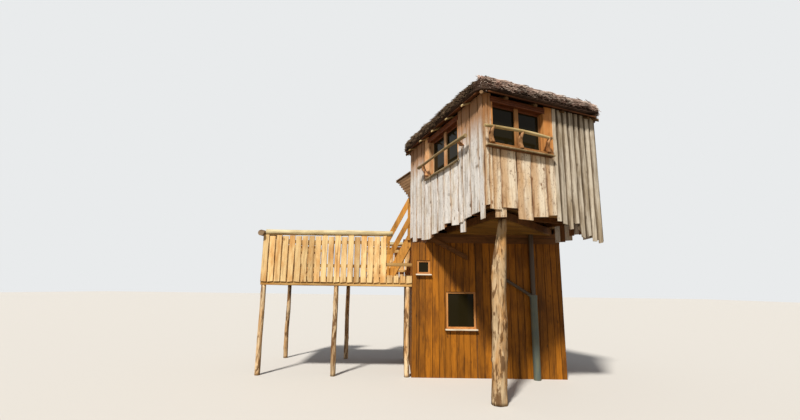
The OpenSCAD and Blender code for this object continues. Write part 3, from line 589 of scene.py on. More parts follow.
def board_blank():
    """One metre of board along z: its long edges rounded, its length cut across."""
    deselect()
    bpy.ops.mesh.primitive_cube_add(size=1)
    blank = bpy.context.object
    blank.name = "board_blank"
    blank.scale = (BLANK_W, BLANK_T, 1)
    bpy.ops.object.transform_apply(location=False, rotation=False, scale=True)
    bpy.ops.object.mode_set(mode="EDIT")
    select_edges(blank, runs_along_z)
    bpy.ops.mesh.subdivide(number_cuts=CUTS)
    select_edges(blank, runs_along_z)
    bpy.ops.mesh.bevel(offset=BLANK_EDGE, segments=2)
    bpy.ops.object.mode_set(mode="OBJECT")
    return blank


def log_blank(sides, cuts):
    """A unit log along z, of radius 1, its length cut across."""
    deselect()
    bpy.ops.mesh.primitive_cylinder_add(vertices=sides, radius=1, depth=1)
    blank = bpy.context.object
    blank.name = "log_blank"
    bpy.ops.object.mode_set(mode="EDIT")
    select_edges(blank, runs_along_z)
    bpy.ops.mesh.subdivide(number_cuts=cuts)
    bpy.ops.object.mode_set(mode="OBJECT")
    return blank


def points_of(mesh):
    flat = np.empty(len(mesh.vertices) * 3)
    mesh.vertices.foreach_get("co", flat)
    return flat.reshape(-1, 3)


def fresh_copy(blank, points, place, finish, tone, across):
    """A copy of a blank with its own mesh, put in place with its tone and material."""
    made = bpy.data.objects.new(blank.name, blank.data.copy())
    bpy.context.collection.objects.link(made)
    turned = points @ np.array(place.to_3x3()).T + np.array(place.translation)
    made.data.vertices.foreach_set("co", turned.ravel())
    for name, values in (("tone", np.full(len(points), tone)), ("across", across)):
        made.data.attributes.new(name, "FLOAT", "POINT").data.foreach_set("value", values)
    made.data.materials.clear()
    made.data.materials.append(finish)
    return made


# Order in which a blank's x, y and z become x, y and z of a board along each axis
TURNS = {"Z": [0, 1, 2], "X": [2, 0, 1], "Y": [1, 2, 0]}

BOARD = board_blank()
LOG = log_blank(16, 31)
# The corner post is near the eye and has its bark drawn in its shape
THICK_LOG = log_blank(36, 97)
BOARD_SHAPE = points_of(BOARD.data)


def plank(place, low, high, finish, along="Z", wane=0.0, tilt=0.0, cut=0.0, tone=None):
    """A board between two corners. Wane lets its long edges wander, tilt turns its face,
    and cut makes its lower end uneven."""
    order = TURNS[along]
    low, high = np.array(low, float), np.array(high, float)
    # Sizes in the blank's own order: across, thick, long
    size, middle = np.empty(3), np.empty(3)
    for blank_axis in range(3):
        axis = order.index(blank_axis)
        size[blank_axis] = high[axis] - low[axis]
        middle[blank_axis] = (high[axis] + low[axis]) / 2
    shape = BOARD_SHAPE.copy()
    side = np.sign(shape[:, 0])
    front = np.sign(shape[:, 1])
    part = shape[:, 2] + 0.5
    across = side * 0.5 + 0.5
    edge = min(1.0, 0.3 * min(size[0], size[1]) / BLANK_EDGE)
    shape[:, 0] = side * size[0] / 2 + (shape[:, 0] - side * BLANK_W / 2) * edge
    shape[:, 1] = front * size[1] / 2 + (shape[:, 1] - front * BLANK_T / 2) * edge
    shape[:, 2] = (part - 0.5) * size[2]
    length = part * size[2]
    if wane:
        for one in (-1, 1):
            wave, start = rng.uniform(3.2, 6.5), rng.uniform(0, 6.3)
            short, later = rng.uniform(9, 15), rng.uniform(0, 6.3)
            wander = wane * (np.sin(wave * length + start) + 0.4 * np.sin(short * length + later))
            shape[:, 0] += np.where(side == one, wander, 0)
    if tilt:
        shape[:, 1] += tilt * rng.uniform(-1, 1) * shape[:, 0] / max(size[0], 0.01)
    if cut:
        foot = np.clip(1 - length / 0.12, 0, 1)
        slant = rng.uniform(-1, 1)
        shape[:, 2] += foot * cut * (slant * side + 0.4 * np.sin(31 * shape[:, 0] + slant * 9))
    shape += middle
    return fresh_copy(
        BOARD, shape[:, order], place, finish,
        rng.random() if tone is None else tone, across,
    )


def along_rings(rings, part):
    """The place and width of a crooked log at each part of its length."""
    rings = np.array(rings, float)
    span = np.abs(rings[-1] - rings[0])
    start = rings[:, 0] if span[0] > span[2] else rings[:, 2]
    way = (start - start[0]) / (start[-1] - start[0])
    return np.stack([np.interp(part, way, rings[:, i]) for i in range(4)], axis=1)


def log(place, rings, finish, along="Z", rough=0.035, knots=0, blank=None):
    """A debarked log through rings of x, y, z and diameter, with swellings and knots."""
    blank = blank or LOG
    shape = points_of(blank.data)
    part = shape[:, 2] + 0.5
    at = along_rings(rings, part)
    # Soften the kinks between rings
    for shift in (-0.04, 0.04):
        at = at + along_rings(rings, np.clip(part + shift, 0, 1))
    at /= 3
    at[:, :3] = np.where(
        ((part < 0.001) | (part > 0.999))[:, None], along_rings(rings, part)[:, :3], at[:, :3]
    )
    length = np.linalg.norm(np.array(rings[-1][:3]) - np.array(rings[0][:3]))
    seed = rng.uniform(0, 50)
    swell = np.array([
        noise.noise(Vector((x * 1.1 + seed, y * 1.1, w * length * 2.2)))
        + 0.5 * noise.noise(Vector((x * 2.6, y * 2.6 + seed, w * length * 7)))
        + (0.9 * noise.noise(Vector((x * 4.5, y * 4.5 + seed, w * length * 4)))
           if blank == THICK_LOG else 0.0)
        for x, y, w in zip(shape[:, 0], shape[:, 1], part)
    ])
    radius = at[:, 3] / 2 * (1 + rough * swell)
    for _ in range(knots):
        turn, height, big = rng.uniform(0, 6.3), rng.uniform(0.06, 0.9), rng.uniform(0.1, 0.2)
        near = (shape[:, 0] * math.cos(turn) + shape[:, 1] * math.sin(turn)).clip(0, 1) ** 6
        bump = near * np.exp(-(((part - height) * length / 0.05) ** 2))
        radius = radius * (1 + big * bump)
    first, second, third = {"Z": (0, 1, 2), "X": (1, 2, 0)}[along]
    points = np.empty_like(shape)
    points[:, first] = at[:, first] + radius * shape[:, 0]
    points[:, second] = at[:, second] + radius * shape[:, 1]
    points[:, third] = at[:, third]
    made = fresh_copy(blank, points, place, finish, rng.random(), part)
    for face in made.data.polygons:
        face.use_smooth = len(face.vertices) == 4
    return made


def join(parts, name, slot, *replaced):
    """Makes one named piece of the parts; it may stand for some of the CAD's nodes."""
    deselect()
    for one in parts:
        one.select_set(True)
    bpy.context.view_layer.objects.active = parts[0]
    if len(parts) > 1:
        bpy.ops.object.join()
    made = parts[0]
    made.name = name
    made.data.name = name
    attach(made, "root")
    if replaced:
        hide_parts(*replaced)
    return made


# Upper walls: boards in two layers with gaps, on an inner lining

# Thickness of the outer layer, face and thickness of the layer behind it, lining boards' width
OVER_T = 0.022
UNDER_AT = 0.021
UNDER_T = 0.018
INNER_W = 0.300


def pieces_beside(left, right, foot, head, opening):
    """Splits a board at an opening (left, right, foot, head) and drops what is inside it."""
    if opening is None or right <= opening[0] + 1e-4 or left >= opening[1] - 1e-4:
        return [(left, right, foot, head)]
    kept = []
    if left < opening[0] - 0.02:
        kept.append((left, opening[0], foot, head))
    if right > opening[1] + 0.02:
        kept.append((opening[1], right, foot, head))
    inside = (max(left, opening[0]), min(right, opening[1]))
    if inside[1] - inside[0] > 0.01:
        if opening[2] - foot > 0.03:
            kept.append((*inside, foot, opening[2]))
        if head - opening[3] > 0.03:
            kept.append((*inside, opening[3], head))
    return kept


def skin(place, boards, face, thick, finish, opening=None, wane=0.004, tilt=0.004, cut=0.012,
         head=WALL_TOP):
    """A layer of upright boards, each given as left edge, right edge and lower end."""
    made = []
    for left, right, foot in boards:
        tone = rng.random()
        for a, b, low, high in pieces_beside(left, right, foot, head, opening):
            if opening and low > opening[2]:
                high = WALL_TOP
            whole = b - a > 0.9 * (right - left)
            made.append(plank(
                place, (a, face, low), (b, face + thick, high), finish,
                wane=wane if whole else wane * 0.3, tilt=tilt, cut=cut, tone=tone,
            ))
    return made


def lining(place, left, right, opening=None):
    """Plain boards side by side on the inside of a wall."""
    count = round((right - left) / INNER_W)
    step = (right - left) / count
    boards = [(left + i * step, left + (i + 1) * step, FLOOR_TOP) for i in range(count)]
    return skin(place, boards, SKIN, FRAME_T, UNDER_BOARDS, opening, 0, 0, 0)


# Left wall: wide waney boards, as their distances from the near corner and their lower ends
LEFT_OVER = [
    (0.000, 0.185, 2.980), (0.205, 0.470, 3.115), (0.500, 0.760, 3.080), (0.790, 0.925, 3.030),
    (0.965, 1.225, 3.008), (1.255, 1.535, 3.090), (1.570, 1.815, 2.990), (1.860, 2.150, 2.960),
    (2.195, 2.500, 2.880), (2.545, 2.690, 2.890), (2.720, 2.960, 2.955), (3.000, 3.200, 2.900),
    (3.230, 3.385, 3.010),
]
LEFT_UNDER = [
    (0.150, 0.260, 3.120), (0.430, 0.560, 3.100), (0.915, 0.985, 3.040), (1.190, 1.300, 3.060),
    (1.490, 1.620, 3.030), (1.770, 1.900, 2.990), (2.110, 2.240, 2.900), (2.460, 2.590, 2.860),
    (2.650, 2.760, 2.930), (2.920, 3.040, 2.920), (3.160, 3.270, 2.950),
]
# One board behind the others hangs lowest
LOW_HANGING = (0.735, 0.915, 2.840)
left_opening = (*LEFT_WINDOW, SILL_Z, HEAD_Z)


def from_back_corner(boards):
    """Turns distances from the near corner into x along the left wall."""
    return [(LEFT_L - b, LEFT_L - a, foot) for a, b, foot in boards]


def butt(depth):
    """Length that a wall gives up where it butts against a wall of this depth."""
    corner = math.radians(CORNER_DEGREES)
    return depth * (1 + math.cos(corner)) / math.sin(corner) + 0.0003


left_boards = skin(
    ON_LEFT, from_back_corner([(max(a, butt(SKIN)), b, z) for a, b, z in LEFT_OVER]),
    0.0, OVER_T, SILVER_BOARDS, left_opening, wane=0.007, head=SKIN_TOP,
)
left_boards += skin(
    ON_LEFT, from_back_corner(LEFT_UNDER), UNDER_AT, UNDER_T, UNDER_BOARDS, left_opening,
    head=SKIN_TOP,
)
# The lowest one is as grey as the outer boards
left_boards += skin(
    ON_LEFT, from_back_corner([LOW_HANGING]), UNDER_AT, UNDER_T, SILVER_BOARDS, left_opening
)
# Beside the window a planed and oiled board takes the place of the grey one, in the paler pine
# with painted sunlight
left_boards.append(plank(
    ON_LEFT, (LEFT_WINDOW[0] - 0.210, -0.006, SILL_Z - 0.02),
    (LEFT_WINDOW[0] - 0.004, 0.016, SKIN_TOP), FADED_SUNLIT_PINE, tone=1.0, cut=0.006,
))
left_boards += lining(ON_LEFT, butt(SKIN + FRAME_T), LEFT_L - butt(SKIN + FRAME_T), left_opening)
join(left_boards, "left_wall_boards", "weathered_boards", "left_wall")

# Front wall: five wide boards under the window, then narrow raised boards to the right corner
FRONT_OVER = [
    (0.000, 0.094, 3.200), (0.096, 0.322, 3.140), (0.340, 0.664, 3.190), (0.684, 0.980, 3.012),
    (1.000, 1.330, 3.085),
]
JAMB = (1.346, 1.538)
FRONT_UNDER = [
    (0.060, 0.150, 3.18), (0.600, 0.730, 3.16), (0.950, 1.040, 3.10), (1.300, 1.390, 3.12),
]
FRONT_LOW_HANGING = (0.212, 0.436, 3.020)
front_opening = (*FRONT_WINDOW, SILL_Z, HEAD_Z)
# Lower ends of the raised boards, by their distance from the near corner
FRONT_LOWS = [
    (1.660, 3.065), (1.790, 2.990), (1.900, 2.940), (2.010, 3.020), (2.140, 2.900),
    (2.270, 2.820), (2.420, 2.810), (2.540, 2.760), (FRONT_L, 2.730),
]


def low_end(s):
    for edge, low in FRONT_LOWS:
        if s <= edge:
            return low
    return FRONT_LOWS[-1][1]


front_boards = skin(
    ON_FRONT, FRONT_OVER, 0.0, OVER_T, TAN_BOARDS, front_opening, wane=0.007, head=SKIN_TOP
)
front_boards.append(plank(
    ON_FRONT, (JAMB[0], 0.0, 3.140), (JAMB[1], OVER_T, SILL_Z - 0.004), TAN_BOARDS,
    wane=0.003, cut=0.012,
))
# Beside the window that board is planed and oiled
front_boards.append(plank(
    ON_FRONT, (JAMB[0] + 0.012, -0.004, SILL_Z), (JAMB[1], OVER_T, RAISED_TOP), OILED_PINE,
    tone=1.0,
))
front_boards += skin(ON_FRONT, FRONT_UNDER, UNDER_AT, UNDER_T, DARK_UNDER, front_opening)
front_boards += skin(
    ON_FRONT, [FRONT_LOW_HANGING], UNDER_AT, UNDER_T, TAN_BOARDS, front_opening
)
# The raised boards right of the window: their number, face and thickness
RAISED = 8
RAISED_FACE = -0.012
RAISED_T = 0.028
raised_step = (FRONT_L - WINDOW_PART) / RAISED
over_row, under_row = [], []
for i in range(RAISED):
    at = WINDOW_PART + i * raised_step
    wide = rng.uniform(0.070, 0.092)
    over_row.append((at, at + wide, low_end(at + 0.04) + rng.uniform(-0.035, 0.02)))
    under_row.append((
        at + wide - 0.008, at + raised_step + 0.008,
        low_end(at + wide + 0.02) + rng.uniform(-0.01, 0.04),
    ))
under_row[-1] = (under_row[-1][0], FRONT_L - 0.003, under_row[-1][2])
front_boards += skin(
    ON_FRONT, over_row, RAISED_FACE, RAISED_T, GREY_BOARDS, wane=0.005, tilt=0.010,
    head=RAISED_TOP,
)
# Behind their gaps lie boards darkened as painted shade
front_boards += skin(
    ON_FRONT, under_row, RAISED_FACE + RAISED_T - 0.002, 0.020, SHADED_GREY_UNDER, wane=0, tilt=0.002,
    head=RAISED_TOP,
)
front_boards += lining(ON_FRONT, butt(SKIN), FRONT_L - butt(SKIN), front_opening)
join(front_boards, "front_wall_boards", "weathered_boards", "front_wall")


# Width and gap of the boards on the walls that don't show, and how much of the right wall
# hangs free in front of the terrace
HIDDEN_W = 0.260
HIDDEN_GAP = 0.028
RIGHT_FREE = 1.330


def hidden_boards(length, free):
    """Boards of an unseen wall: ragged where they hang free, level over the terrace."""
    count = round(length / HIDDEN_W)
    step = length / count
    made = []
    for i in range(1, count + 1):
        low = TERRACE_Z + 0.015
        if i * step <= free:
            ragged = math.sin(math.radians(137 * i)) + 0.45 * math.sin(math.radians(71 * i))
            low = 2.9 + 0.09 * ragged
        made.append(((i - 1) * step + HIDDEN_GAP / 2, i * step - HIDDEN_GAP / 2, low))
    return made


def behind_gaps(boards):
    """Narrow boards behind the gaps of a layer."""
    return [
        (b - 0.05, next_a + 0.05, max(foot, next_foot) - 0.01)
        for (a, b, foot), (next_a, _, next_foot) in zip(boards, boards[1:])
    ]


def hidden_wall(place, length, free, outer, inner, side, opening=None):
    """A wall of hidden boards; outer and inner are the ends of its skin and of its lining."""
    row = [
        (max(a, outer[0]), min(b, outer[1]), foot) for a, b, foot in hidden_boards(length, free)
    ]
    made = skin(place, row, 0.0, OVER_T, SILVER_BOARDS, opening)
    made += skin(place, behind_gaps(row), UNDER_AT, UNDER_T, UNDER_BOARDS, opening)
    made += lining(place, *inner, opening)
    join(made, side + "_wall_boards", "weathered_boards", side + "_wall")


hidden_wall(
    ON_RIGHT, LEFT_L, RIGHT_FREE, (butt(SKIN), LEFT_L),
    (butt(SKIN + FRAME_T), LEFT_L - butt(SKIN + FRAME_T)), "right",
)
UP_DOOR = (1.660, 2.460, FLOOR_TOP, FLOOR_TOP + 1.300)
BACK_ENDS = (butt(SKIN), FRONT_L - butt(SKIN))
hidden_wall(ON_BACK, FRONT_L, 0, BACK_ENDS, BACK_ENDS, "back", UP_DOOR)


# Windows: a deep lining of planed boards, two sashes behind it, head boards and a sill

# Depth and boards of the lining box, widths of the sashes' outer and meeting stiles, their
# thickness, the sill's reach, and the strip that covers the meeting stiles
REVEAL = 0.130
LINING_T = 0.025
SASH_W = 0.042
MEETING_W = SASH_W / 2 + 0.012
SASH_T = 0.045
SILL_OUT = 0.095
SILL_SIDE = 0.140
COVER_W = 0.092


def window(place, left, right, lining_wood, sash_wood):
    """The lining box and the two sashes of an upper window."""
    made = []
    bottom, top = SILL_Z, HEAD_Z
    for x in (left, right - LINING_T):
        made.append(plank(place, (x, -0.004, bottom), (x + LINING_T, REVEAL, top), lining_wood))
    # The lining's top board is in the darker pine: painted shade under the head
    for z, wood in ((bottom, lining_wood), (top - LINING_T, SHADED_PINE)):
        made.append(plank(
            place, (left + LINING_T, -0.002, z), (right - LINING_T, REVEAL, z + LINING_T),
            wood, along="X",
        ))
    inside_l, inside_r = left + LINING_T, right - LINING_T
    low, high = bottom + LINING_T, top - LINING_T
    back, face = REVEAL, REVEAL - SASH_T
    half = (inside_r - inside_l) / 2
    for i in range(2):
        a, b = inside_l + i * half, inside_l + (i + 1) * half
        width = (SASH_W, MEETING_W) if i == 0 else (MEETING_W, SASH_W)
        made.append(plank(place, (a, face, low), (a + width[0], back, high), sash_wood))
        made.append(plank(place, (b - width[1], face, low), (b, back, high), sash_wood))
        # The sashes' head rails are in the darker pine too: painted shade
        for z, wood in ((low, sash_wood), (high - SASH_W, SHADED_PINE)):
            made.append(plank(
                place, (a + width[0], face + 0.002, z), (b - width[1], back, z + SASH_W),
                wood, along="X",
            ))
    middle = (inside_l + inside_r) / 2
    made.append(plank(
        place, (middle - COVER_W / 2, face - 0.024, low),
        (middle + COVER_W / 2, face + 0.004, high), sash_wood,
    ))
    return made


def head_boards(place, left, right, face):
    """Narrow boards across the wall between a window's head and the eaves, darkened as painted
    shade.
    """
    edges = [HEAD_Z - 0.034, HEAD_Z + 0.002, HEAD_Z + 0.038, WALL_TOP]
    return [
        plank(
            place, (left, face - 0.004 * i, low + 0.002), (right, face + 0.016, high - 0.003),
            SHADED_PINE, along="X",
        )
        for i, (low, high) in enumerate(zip(edges, edges[1:]))
    ]


front_frame = window(ON_FRONT, *FRONT_WINDOW, OILED_PINE, STAINED_PINE)
front_frame += head_boards(ON_FRONT, FRONT_WINDOW[0] - 0.02, FRONT_WINDOW[1] + 0.004, -0.012)
# The front sill: a brown bottom rail over two thin boards, the lower one shadowed
front_frame.append(plank(
    ON_FRONT, (FRONT_WINDOW[0] - 0.005, -0.050, SILL_Z),
    (FRONT_WINDOW[1] + 0.005, -0.003, SILL_Z + 0.052), STAINED_PINE, along="X",
))
front_frame.append(plank(
    ON_FRONT, (FRONT_WINDOW[0] - SILL_SIDE, -SILL_OUT, SILL_Z - 0.022),
    (FRONT_WINDOW[1] + SILL_SIDE, -FREE, SILL_Z - 0.002), SILL_WOOD, along="X",
))
front_frame.append(plank(
    ON_FRONT, (FRONT_WINDOW[0] - SILL_SIDE + 0.01, -0.060, SILL_Z - 0.040),
    (FRONT_WINDOW[1] + SILL_SIDE - 0.03, -FREE, SILL_Z - 0.023), BEAM_WOOD, along="X", tone=0.2,
))
join(front_frame, "front_window_joinery", "fresh_timber", "front_window_frame")

# The left window's lining and sashes are in the paler pine, with sunlight painted in
left_frame = window(ON_LEFT, *LEFT_WINDOW, FADED_SUNLIT_PINE, FADED_SUNLIT_PINE)
left_frame += head_boards(ON_LEFT, LEFT_WINDOW[0] - 0.03, LEFT_WINDOW[1] + 0.004, -0.012)
# The left sill is a slim bleached pole
SILL_POLE = 0.050
left_frame.append(log(ON_LEFT, [
    (LEFT_WINDOW[0] - SILL_SIDE, -SILL_POLE * 0.55, SILL_Z - 0.024, SILL_POLE * 0.85),
    (LEFT_WINDOW[0] + 0.400, -SILL_POLE * 0.60, SILL_Z - 0.014, SILL_POLE),
    (LEFT_WINDOW[1] - 0.350, -SILL_POLE * 0.55, SILL_Z - 0.020, SILL_POLE * 0.95),
    (LEFT_WINDOW[1] + SILL_SIDE * 0.5, -SILL_POLE * 0.60, SILL_Z - 0.012, SILL_POLE * 0.8),
], SILL_WOOD, "X", rough=0.05, knots=3))
left_frame.append(plank(
    ON_LEFT, (LEFT_WINDOW[0], -0.020, SILL_Z - 0.004), (LEFT_WINDOW[1], 0.0, SILL_Z + 0.018),
    STAINED_PINE, along="X",
))
join(left_frame, "left_window_joinery", "fresh_timber", "left_window_frame")

# A board that closes the gap over the lower storey behind the left wall's far end
GAP_FROM = 0.95
join([plank(
    ON_LEFT, (0.02, SKIN + 0.004, LOW_H + 0.001), (GAP_FROM, SKIN + 0.026, 3.189), BEAM_WOOD,
    along="X", tone=0.4,
)], "closing_board", "beam_timber")


# Lower walls: oiled upright boards on an inner lining

LOW_SKIN = 0.024


def lower_row(length):
    """Boards 120 to 170 mm wide, side by side along a wall."""
    edges = [0.0]
    while edges[-1] < length - 0.2:
        edges.append(edges[-1] + rng.uniform(0.120, 0.170))
    edges.append(length)
    return [(a + 0.002, b - 0.002) for a, b in zip(edges, edges[1:])]


def spans_beside(left, right, openings):
    """What is left of a board from the ground to the wall's top beside some openings."""
    spans = [(left, right, 0.0, LOW_H)]
    for opening in openings:
        spans = [cut for span in spans for cut in pieces_beside(*span, opening)]
    return spans


def lower_wall(place, length, openings):
    """A lower wall's outer boards and the boards of its inner lining."""
    made = []
    for left, right in lower_row(length):
        tone, face = rng.random(), rng.uniform(0.0, 0.004)
        for a, b, low, high in spans_beside(left, right, openings):
            made.append(plank(
                place, (a, face, low), (b, LOW_SKIN, high), OILED_BOARDS, tilt=0.002, tone=tone
            ))
    count = round(length / INNER_W)
    step = length / count
    for i in range(count):
        for a, b, low, high in spans_beside(i * step, (i + 1) * step, openings):
            made.append(plank(place, (a, LOW_SKIN, low), (b, LOW_T, high), UNDER_BOARDS))
    return made


LOW_WINDOWS = [(0.745, 1.385, 0.990, 1.770), (0.110, 0.400, 2.140, 2.440)]
LOW_DOOR = (1.235, 2.035, 0.120, 2.020)
join(
    lower_wall(ON_LOW_FRONT, 2 * LOW_X, LOW_WINDOWS),
    "lower_front_boards", "oiled_boards", "lower_front_wall",
)
join(
    lower_wall(ON_LOW_BACK, 2 * LOW_X, [LOW_DOOR]),
    "lower_back_boards", "oiled_boards", "lower_back_wall",
)
side_boards = []
for side_place in (ON_LOW_LEFT, ON_LOW_RIGHT):
    inside_corner = side_place @ Matrix.Translation((LOW_T, 0, 0))
    side_boards += lower_wall(inside_corner, 2 * LOW_Y - 2 * LOW_T, [])
join(side_boards, "lower_side_boards", "oiled_boards", "lower_side_walls")


# Logs

FLAT = Matrix.Identity(4)
# The corner post's head, and its rings as x and y from there, z and diameter
POST_X, POST_Y = -0.115, -3.160
POST_RINGS = [
    (-0.153, 0.040, 0.000, 0.262), (-0.135, 0.034, 0.420, 0.250), (-0.107, 0.022, 1.050, 0.246),
    (-0.100, 0.034, 1.600, 0.238), (-0.090, 0.026, 2.050, 0.242), (-0.079, 0.018, 2.300, 0.238),
    (-0.050, 0.008, 2.600, 0.201), (-0.020, 0.000, 2.850, 0.161), (0.000, 0.000, 3.024, 0.142),
]
post = log(
    FLAT, [(POST_X + x, POST_Y + y, z, d) for x, y, z, d in POST_RINGS], LOG_WOOD,
    rough=0.085, knots=14, blank=THICK_LOG,
)
join([post], "corner_post_log", "natural_log", "corner_post")

# Guard rails: the log's height, distance and diameter, its branches' diameter, lean and rise
GUARD_Z = 4.545
GUARD_OUT = 0.120
GUARD_D = 0.062
BRACKET_D = 0.084
BRACKET_LEAN = -0.060
BRACKET_RISE = 0.262
STUB_RISE = 0.090


def guard_rail(place, start, end, girths, brackets, finish, name, node):
    """A rail log in front of a window on branches, each given as its x and its rise."""
    run = end - start
    spots = [
        (start, -GUARD_OUT - 0.006, GUARD_Z - 0.020),
        (start + run * 0.20, -GUARD_OUT + 0.004, GUARD_Z - 0.004),
        (start + run * 0.45, -GUARD_OUT, GUARD_Z + 0.010),
        (start + run * 0.70, -GUARD_OUT - 0.005, GUARD_Z + 0.003),
        (end, -GUARD_OUT, GUARD_Z - 0.012),
    ]
    rings = [(*spot, GUARD_D * girth) for spot, girth in zip(spots, girths)]
    made = [log(place, rings, finish, "X", rough=0.05, knots=5)]
    for x, rise in brackets:
        lean = BRACKET_LEAN * rise / BRACKET_RISE
        made.append(log(place, [
            (x, -0.001 - BRACKET_D / 2, GUARD_Z - rise, BRACKET_D * 1.15),
            (x + lean * 0.5, -GUARD_OUT * 0.42, GUARD_Z - rise * 0.72, BRACKET_D),
            (x + lean, -GUARD_OUT * 0.80, GUARD_Z - rise * 0.40, BRACKET_D * 0.92),
            (x + lean * 0.4, -GUARD_OUT, GUARD_Z, BRACKET_D * 0.80),
        ], BRANCH_WOOD, "Z", rough=0.16, knots=4))
    return join(made, name, "natural_log", node)


# Branches stand this far beside a window; the left wall's short one stands farther off
BESIDE = 0.026
STUB_PAST = 0.210
guard_rail(
    ON_FRONT, FRONT_WINDOW[0] - 0.235, FRONT_WINDOW[1] + 0.040, (0.86, 1.0, 0.95, 1.04, 0.80), (
        (FRONT_WINDOW[0] - BESIDE, BRACKET_RISE), (sum(FRONT_WINDOW) / 2, 0.282),
        (FRONT_WINDOW[1] + BESIDE, BRACKET_RISE),
    ), RAIL_LOG, "front_rail_log", "front_guard_rail",
)
guard_rail(
    ON_LEFT, LEFT_WINDOW[0] - 0.280, LEFT_WINDOW[1] + 0.500, (1.22, 0.86, 0.80, 0.98, 1.24), (
        (LEFT_WINDOW[0] - BESIDE, BRACKET_RISE), (LEFT_WINDOW[1] + STUB_PAST, STUB_RISE),
    ), LEFT_RAIL_LOG, "left_rail_log", "left_guard_rail",
)


# Deck: its boards, railings and handrail logs

# Its edges, then its railing's bars and posts
DECK_X = -LOW_X - DECK_L
DECK_RIGHT = -LOW_X - 0.0003
DECK_FRONT = -LOW_Y
DECK_BACK = DECK_FRONT + DECK_D
RAIL_STEP = 1.400
BAR_H = 0.070
BAR_T = 0.045
CORNER_GAP = RAIL_POST + 0.010

BEAM_UNDER = DECK_Z - FLOOR_T - 0.160
DECK_POST_D = 0.110
deck_logs = []
for x in (DECK_X + 0.060, (DECK_X + DECK_RIGHT) / 2, DECK_RIGHT - 0.090):
    for y in (DECK_FRONT + DECK_POST_D / 2, DECK_BACK - DECK_POST_D / 2):
        deck_logs.append(log(FLAT, [
            (x + rng.uniform(-0.01, 0.01), y, 0.0, DECK_POST_D * 1.02),
            (x + rng.uniform(-0.015, 0.015), y + rng.uniform(-0.012, 0.012), 0.7, DECK_POST_D),
            (x + rng.uniform(-0.015, 0.015), y, 1.3, DECK_POST_D * 0.97),
            (x, y, BEAM_UNDER, DECK_POST_D * 0.92),
        ], LOG_WOOD, rough=0.06, knots=6))
join(deck_logs, "deck_post_logs", "natural_log", "deck_posts")


# Width of the floor boards of the deck and the terrace
FLOOR_BOARD = 0.140
floor_count = round(DECK_D / FLOOR_BOARD)
floor_step = DECK_D / floor_count
deck_planks = []
for i in range(floor_count):
    low_y, high_y = DECK_FRONT + i * floor_step, DECK_FRONT + (i + 1) * floor_step
    deck_planks.append(plank(
        FLAT, (DECK_X + rng.uniform(0, 0.004), low_y + 0.002, DECK_Z - FLOOR_T),
        (DECK_RIGHT - rng.uniform(0, 0.004), high_y - 0.004, DECK_Z), DECK_FLOOR, along="X",
    ))
join(deck_planks, "deck_planks", "deck_timber", "deck_boards")


def railing(place, start, length, floor_z):
    """A railing panel along x, its outer face at y = 0, with ragged board tops."""
    made = []
    count = round(length / (SLAT_W + SLAT_GAP))
    step = (length + SLAT_GAP) / count
    for i in range(count):
        top = RAIL_H - 0.028 * abs(math.sin(math.radians(97 * i)))
        made.append(plank(
            place, (start + i * step, -SLAT_T, floor_z - RAIL_DROP),
            (start + (i + 1) * step - SLAT_GAP, 0.0, floor_z + top), DECK_WOOD,
            wane=0.0015, tilt=0.004, cut=0.008,
        ))
    for up in (0.22, 0.80):
        low = floor_z + RAIL_H * up
        made.append(plank(
            place, (start, 0.0, low), (start + length, BAR_T, low + BAR_H), DECK_WOOD_X,
            along="X",
        ))
    spans = max(1, round(length / RAIL_STEP))
    for i in range(spans + 1):
        x = start + i * (length - RAIL_POST) / spans
        made.append(plank(
            place, (x, 0.0, floor_z), (x + RAIL_POST, RAIL_POST, floor_z + RAIL_H), DECK_WOOD
        ))
    return made


# The front railing's full height ends here; right of it are a low bar and short boards
FRONT_RAIL_L = 2.735
LOW_BAR = 0.240
SHORT_TOP = 0.030
deck_front_place = Matrix.Translation((DECK_X, DECK_FRONT, 0))
front_rail = railing(deck_front_place, 0, FRONT_RAIL_L, DECK_Z)
rest = DECK_RIGHT - DECK_X - FRONT_RAIL_L
short_n = round(rest / (SLAT_W + SLAT_GAP))
short_step = rest / short_n
for i in range(short_n):
    front_rail.append(plank(
        deck_front_place,
        (FRONT_RAIL_L + SLAT_GAP + i * short_step, -SLAT_T, DECK_Z - RAIL_DROP),
        (FRONT_RAIL_L + (i + 1) * short_step, 0.0, DECK_Z + SHORT_TOP + rng.uniform(-0.01, 0.02)),
        DECK_WOOD, tilt=0.003, cut=0.008,
    ))
front_rail.append(plank(
    deck_front_place, (FRONT_RAIL_L - RAIL_POST, 0.0, DECK_Z + LOW_BAR),
    (FRONT_RAIL_L + rest, BAR_T, DECK_Z + LOW_BAR + BAR_H), DECK_WOOD_X, along="X",
))
join(front_rail, "deck_front_railing", "deck_timber", "deck_railing_front")

deck_left_place = wall_place(Vector((DECK_X, DECK_BACK, 0)), -math.pi / 2)
join(
    railing(deck_left_place, 0, DECK_D - CORNER_GAP, DECK_Z),
    "deck_left_railing", "deck_timber", "deck_railing_left",
)
# The way in at the deck's back
WAY_FROM = 1.300
DECK_WAY = 1.000
deck_back_place = wall_place(Vector((DECK_RIGHT, DECK_BACK, 0)), math.pi)
back_rest = DECK_RIGHT - DECK_X - WAY_FROM - DECK_WAY - CORNER_GAP
join(
    railing(deck_back_place, 0, WAY_FROM, DECK_Z)
    + railing(deck_back_place, WAY_FROM + DECK_WAY, back_rest, DECK_Z),
    "deck_back_railing", "deck_timber", "deck_railing_back",
)

# Handrail logs: their diameter, how far they run past the corners, and their height
HAND_D = 0.125
HAND_PAST = 0.150
HAND_END = 0.130
HAND_OUT = 0.110
HAND_TOP = DECK_Z + RAIL_H + HAND_D / 2


